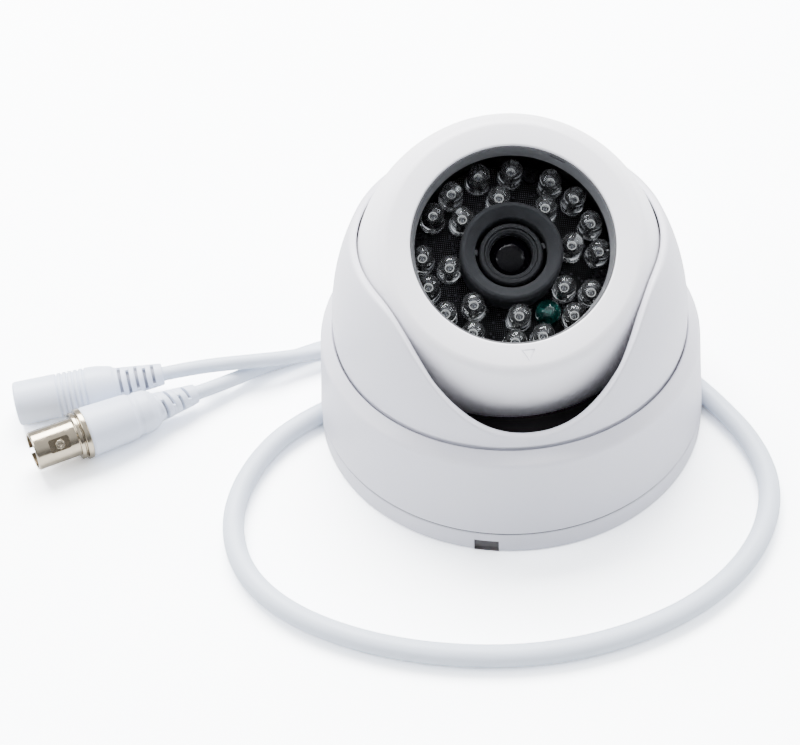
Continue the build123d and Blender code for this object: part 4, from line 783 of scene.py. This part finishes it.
# ---- lens
prof = rounded([(3.4, -3.6), (5.6, -3.6), (6.0, -3.2), (6.0, 5.6), (7.1, 5.6), (7.1, 11.9), (6.75, 12.55), (5.95, 12.55), (5.95, 11.85), (5.0, 11.8), (5.0, 8.0), (3.6, 8.0), (3.6, 0.4), (3.4, 0.4)],
               [0, 0, 0, 0, 0.15, 0.15, 0.15, 0.12, 0.1, 0, 0, 0, 0, 0], n=4)
lathe("lens_barrel_body", BF, prof, M_BARREL, "lens", segs=128, replaces="lens_barrel")
prof = rounded([(4.95, 9.5), (4.72, 9.5), (4.76, 11.5), (5.35, 12.2), (5.8, 12.2), (5.86, 11.88), (4.95, 11.88)], [0, 0.08, 0.15, 0.12, 0.1, 0, 0], n=4)
lathe("lens_retainer_body", BF, prof, M_BARREL, "lens", segs=128, replaces="lens_retainer")
big = (4.6 ** 2 + 1.55 ** 2) / (2 * 1.55)
prof = [(0.0, 8.1), (4.95, 8.1), (4.95, 9.4), (4.6, 9.4)]
for k in range(1, 17):
    x = 4.6 * (1 - k / 16.0)
    prof.append((x, 9.4 + 1.55 - big + sqrt(big * big - x * x)))
lathe("front_glass_body", BF, prof, M_GLASS_SHEEN, "lens", segs=96, closed=False, replaces="lens_front_glass")

# ------------------------------------------------------------------ video jack
BN = Fr(bnc_mouth, (0, 0, 1), BND)
LB = (bnc_end - bnc_mouth).length
barrel = lathe("bnc_barrel_body", BN, rounded([(4.1, 0.0), (4.6, 0.0), (4.8, 0.3), (4.8, 10.6), (5.9, 10.6), (5.9, 11.6), (5.35, 11.7), (5.35, 12.0), (6.4, 12.05), (6.4, 13.4), (2.45, 13.4), (2.45, 11.0), (4.1, 11.0)],
                [0.12, 0.1, 0.1, 0.2, 0.25, 0.25, 0.1, 0.1, 0.3, 0.2, 0, 0, 0.2], n=5), M_NICKEL, "base", segs=128, replaces="bnc_barrel")
barrel.data.materials.append(M_NICKEL_IN)
for p in barrel.data.polygons:
    q = Vector(p.center) / MM - Vector(BN.o)
    s_ = q.dot(BN.z)
    if (q - BN.z * s_).length < 4.35 and s_ > 0.35 and s_ < 12.0:
        p.material_index = 1
# the recess around the upper stud, towards the viewer, and the key slot in the mouth
upn = (Vector((0, 0, 1)) * 0.62 + Vector((0.1, -0.75, 0.0))).normalized()
upn = (upn - BN.z * upn.dot(BN.z)).normalized()
side = BN.z.cross(upn)
stud = Fr(Vector(BN.o) + BN.z * 6.0 + upn * 4.15, BN.z, upn)
cuts = [cutter(*prism(stud, rounded(rect_poly(5.0, 3.3), 0.5, n=3), 0.25, 2.0))]
kd = (Vector((-0.39, 0.917, 0)) * 0.75 + Vector((0, 0, -0.66)))
kd = (kd - BN.z * kd.dot(BN.z)).normalized()
slotf = Fr(Vector(BN.o) + BN.z * 0.2 + kd * 3.4, BN.z, kd)
cuts.append(cutter(*prism(slotf, rect_poly(2.0, 1.3), 0.0, 3.0)))
boolean(barrel, cuts, smooth=32.0)
# a darker nickel plate on the floor of the stud recess: painted shade
v, f = prism(stud, rounded(rect_poly(4.94, 3.24), 0.5, n=3), 0.2, 0.33)
make("bnc_recess_shade_floor", v, f, metal("nickel_recess_painted_shade", (0.21, 0.175, 0.125), rough=0.25, var=0.15), "base", 0)
for i, sg in enumerate((1, -1)):
    c = Vector(BN.o) + BN.z * 6.0 + upn * (4.3 * sg)
    f = Fr(c, BN.z, upn * sg)
    lathe("bnc_stud_%d" % i, f, rounded([(0, 0), (1.1, 0), (1.1, 1.15), (0.6, 1.2), (0.45, 0.95), (0, 0.9)], [0, 0, 0.15, 0.1, 0.05, 0], n=3, closed=False), M_NICKEL, "base", segs=32, closed=False)
lathe("bnc_insulator_body", BN, rounded([(0.75, 5.2), (2.4, 5.2), (2.4, 13.3), (0.75, 13.3)], 0.15, n=3), M_INSUL, "base", segs=48, replaces="bnc_insulator")
def relief(name, fr, s0, s1, r0, r1, slots, depth, segs=128, shear=0.0, lead=(), tail=()):
    """a turned body that ends in a strain relief: slots are (start, end, middle angle, half width) in the taper"""
    rows = [(s_, r_, None) for r_, s_ in lead]
    def rr(x):
        t = max(0.0, min(1.0, (x - s0) / (s1 - s0)))
        return r0 + (r1 - r0) * t
    last = s0
    for k, (a, b, mid, half) in enumerate(slots):
        for x in (last + (a - last) * 0.15, (last + a) / 2, a - 0.22):
            rows.append((x, rr(x), None))
        rows.append((a - 0.06, rr(a) - 0.05, None))
        rows.append((a, rr(a) - 0.12, None))
        rows.append((a + 0.02, rr(a) - 0.16, k))
        rows.append((b - 0.02, rr(b) - 0.16, k))
        rows.append((b, rr(b) - 0.12, None))
        rows.append((b + 0.06, rr(b) - 0.05, None))
        last = b + 0.06
    rows.append((last + 0.25, rr(last + 0.25), None))
    rows.append((s1 - 0.35, rr(s1), None))
    rows.append((s1 - 0.1, rr(s1) - 0.1, None))
    rows.append((s1, rr(s1) - 0.35, None))
    rows.append((s1, 0.0, None))
    verts, rings = [], []
    for x, r, k in rows:
        if r < 1e-6:
            verts.append(fr.p(0, 0, x)); rings.append([len(verts) - 1]); continue
        ring = []
        for j in range(segs):
            th = 2 * pi * j / segs
            q = r
            if k is not None:
                mid, half = radians(slots[k][2]), radians(slots[k][3])
                d = abs((th - mid + pi) % (2 * pi) - pi)
                d2 = abs((th - mid) % (2 * pi) - pi)
                w = max(0.0, min(1.0, (half - d) / radians(9.0)))
                w2 = max(0.0, min(1.0, (half - d2) / radians(9.0)))
                w = max(w, w2)
                w = w * w * (3 - 2 * w)
                q = (r + 0.14) * (1 - w) + (r - depth) * w
            dd = x
            if shear and x > s0 - 0.5 and x < s1 - 0.2:
                t = min(1.0, (x - s0 + 0.5) / 1.2) * min(1.0, (s1 - 0.2 - x) / 1.0)
                dd = x + t * shear * q * sin(th)
            ring.append(len(verts)); verts.append(fr.p(q * cos(th), q * sin(th), dd))
        rings.append(ring)
    faces = []
    for a, b in zip(rings, rings[1:]):
        for j in range(segs):
            j2 = (j + 1) % segs
            if len(a) == 1: faces.append((a[0], b[j2], b[j]))
            elif len(b) == 1: faces.append((a[j], a[j2], b[0]))
            else: faces.append((a[j], a[j2], b[j2], b[j]))
    ob = make(name, verts, faces, [M_MOULD, M_DARKGROOVE], "base", 38.0)
    fix_normals(ob)
    for i in range(len(rows) - 1):
        k = rows[i][2]
        if k is None or rows[i + 1][2] != k:
            continue
        for j in range(segs):
            th = 2 * pi * (j + 0.5) / segs
            d = abs((th - radians(slots[k][2]) + pi) % (2 * pi) - pi)
            d2 = abs((th - radians(slots[k][2])) % (2 * pi) - pi)
            if min(d, d2) < radians(slots[k][3] - 5.0):
                ob.data.polygons[i * segs + j].material_index = 1
    ob.data.set_sharp_from_angle(angle=radians(38.0))
    return ob

lead = rounded([(0, 13.4), (6.05, 13.4), (6.2, 14.1), (6.0, 19.0), (5.8, 24.0), (5.65, 25.2), (5.2, 25.9), (5.15, 26.5), (5.4, 27.2), (5.2, 29.6), (4.5, 31.0), (3.75, 31.6)],
               [0, 0.25, 0.3, 0, 0, 0.5, 0.25, 0.2, 0.5, 0.9, 0.6, 0], n=4, closed=False)
bsl = [(32.2 + k * 2.2, 32.95 + k * 2.2, 75.0 if k % 2 == 0 else 10.0, 52.0) for k in range(4)]
ob = relief("bnc_overmold_body", BN, 31.7, LB, 3.75, 2.45, bsl, 0.95, shear=0.30, lead=lead)
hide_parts("bnc_overmold")

# ------------------------------------------------------------------ power jack
DC = Fr(dc_mouth, (0, 0, 1), DCD)
L = (dc_end - dc_mouth).length
dp = rounded([(3.15, 0.8), (3.55, 0.0), (5.2, 0.0), (5.5, 0.5), (5.5, 10.2)], [0, 0.3, 0.3, 0.3, 0], n=5, closed=False)
for k in range(6):
    s0 = 10.3 + k * 1.35
    dp += [(5.5, s0), (5.42, s0 + 0.2), (5.05, s0 + 0.32), (5.05, s0 + 0.62), (5.42, s0 + 0.75), (5.5, s0 + 0.95)]
dp += rounded([(5.5, 18.6), (5.3, 21.0), (4.6, 24.3), (3.95, 25.2)], [0, 1.5, 1.0, 0], n=5, closed=False)
dsl = [(25.7 + k * 2.05, 26.5 + k * 2.05, 45.0 + (14 if k % 2 else -14), 66.0) for k in range(5)]
ob = relief("dc_jack_body_shell", DC, 25.25, L, 3.95, 2.75, dsl, 1.05, lead=dp)
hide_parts("dc_jack_body")
lathe("dc_bore_floor", DC, rounded([(1.0, 9.3), (3.3, 9.3), (3.3, 9.9), (1.0, 9.9)], 0.08, n=2), M_MOULD, "base", segs=48)

# ------------------------------------------------------------------ materials of the CAD nodes that stay
keep = {
    "cover_screws": M_STEEL, "frame_screws": M_STEEL, "seat_screws": M_STEEL, "shell_screws": M_STEEL, "clamp_ring_screws": M_STEEL,
    "board_screws": M_BLACKSTEEL, "clamp_screws": M_STEEL, "pan_frame": M_INNER, "pan_friction_ring": M_RUBBER, "ball_friction_ring": M_RUBBER,
    "cable_grommet": M_CABLE, "cable_clamp": M_INNER, "inner_lead": M_CABLE, "lead_plug": M_IVORY, "y_splitter": M_SPLIT,
    "dc_jack_sleeve": M_NICKEL, "dc_jack_pin": M_NICKEL, "bnc_contact": M_BRASS, "ball_rear_shell": M_BALL, "lead_grommet": M_RUBBER,
    "window_gasket": M_RUBBER, "board_clamp_ring": M_INNER, "sensor_board": M_GREEN, "standoffs": M_BRASS, "image_sensor": M_CHIP,
    "board_connectors": M_IVORY, "board_link_header": M_INNER, "lens_holder": M_INNER, "ir_filter": M_CHIP, "lens_rear_glass": M_GLASS_SHEEN,
}
for n, m in keep.items():
    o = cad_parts[n]
    o.data.materials.clear()
    o.data.materials.append(m)

# ------------------------------------------------------------------ stage and light
me = bpy.data.meshes.new("floor")
s = 3.0
me.from_pydata([(-s, -s, -0.0001), (s, -s, -0.0001), (s, s, -0.0001), (-s, s, -0.0001)], [], [(0, 1, 2, 3)])
floor = bpy.data.objects.new("floor", me)
COL.objects.link(floor)
m, nt, bs, out = new_mat("paper_floor")
lp = nt.nodes.new("ShaderNodeLightPath")
gain = nt.nodes.new("ShaderNodeVectorMath"); gain.operation = "SCALE"
nt.links.new(maprange(nt, lp.outputs["Is Camera Ray"], 1.0, 2.6), gain.inputs["Scale"])
nt.links.new(ramp(nt, noise(nt, 3.0, 2.0), [(0.2, (0.80, 0.82, 0.845)), (0.8, (0.82, 0.835, 0.85))]), gain.inputs[0])
nt.links.new(gain.outputs["Vector"], bs.inputs["Base Color"])
bs.inputs["Roughness"].default_value = 0.55
bs.inputs["Specular IOR Level"].default_value = 0.3
me.materials.append(m)

def area(name, loc, target, sx, sy, power, color):
    ld = bpy.data.lights.new(name, "AREA")
    ld.shape = "RECTANGLE"
    ld.size, ld.size_y = sx, sy
    ld.energy = power
    ld.color = color
    ob = bpy.data.objects.new(name, ld)
    COL.objects.link(ob)
    ob.location = loc
    d = Vector(target) - Vector(loc)
    ob.rotation_euler = d.to_track_quat("-Z", "Y").to_euler()
    return ob
area("key", (-0.1, 0.75, 1.15), (0, 0, 0.03), 1.3, 0.8, 92.0, (1.0, 0.99, 0.975))
area("side_l", (-1.2, -0.1, 0.7), (0, 0, 0.03), 0.7, 0.9, 16.0, (0.97, 0.985, 1.0))
area("side_r", (1.2, -0.1, 0.7), (0, 0, 0.03), 0.7, 0.9, 16.0, (0.97, 0.985, 1.0))

world = bpy.data.worlds.new("soft_world")
bpy.context.scene.world = world
world.use_nodes = True
nt = world.node_tree
for n in list(nt.nodes):
    nt.nodes.remove(n)
out = nt.nodes.new("ShaderNodeOutputWorld")
bg = nt.nodes.new("ShaderNodeBackground")
tc = nt.nodes.new("ShaderNodeTexCoord")
sep = nt.nodes.new("ShaderNodeSeparateXYZ")
nt.links.new(tc.outputs["Generated"], sep.inputs["Vector"])
ad = nt.nodes.new("ShaderNodeMath"); ad.operation = "MULTIPLY_ADD"
ad.inputs[1].default_value = 0.35
nt.links.new(sep.outputs["Y"], ad.inputs[0])
nt.links.new(sep.outputs["Z"], ad.inputs[2])
nt.links.new(ramp(nt, maprange(nt, ad.outputs[0], 0.0, 1.0, -0.4, 1.1), [(0.0, (0.10, 0.10, 0.11)), (0.32, (0.28, 0.29, 0.31)), (0.62, (0.86, 0.88, 0.92)), (1.0, (1.0, 1.0, 1.0))]), bg.inputs["Color"])
bg.inputs["Strength"].default_value = 1.25
nt.links.new(bg.outputs["Background"], out.inputs["Surface"])
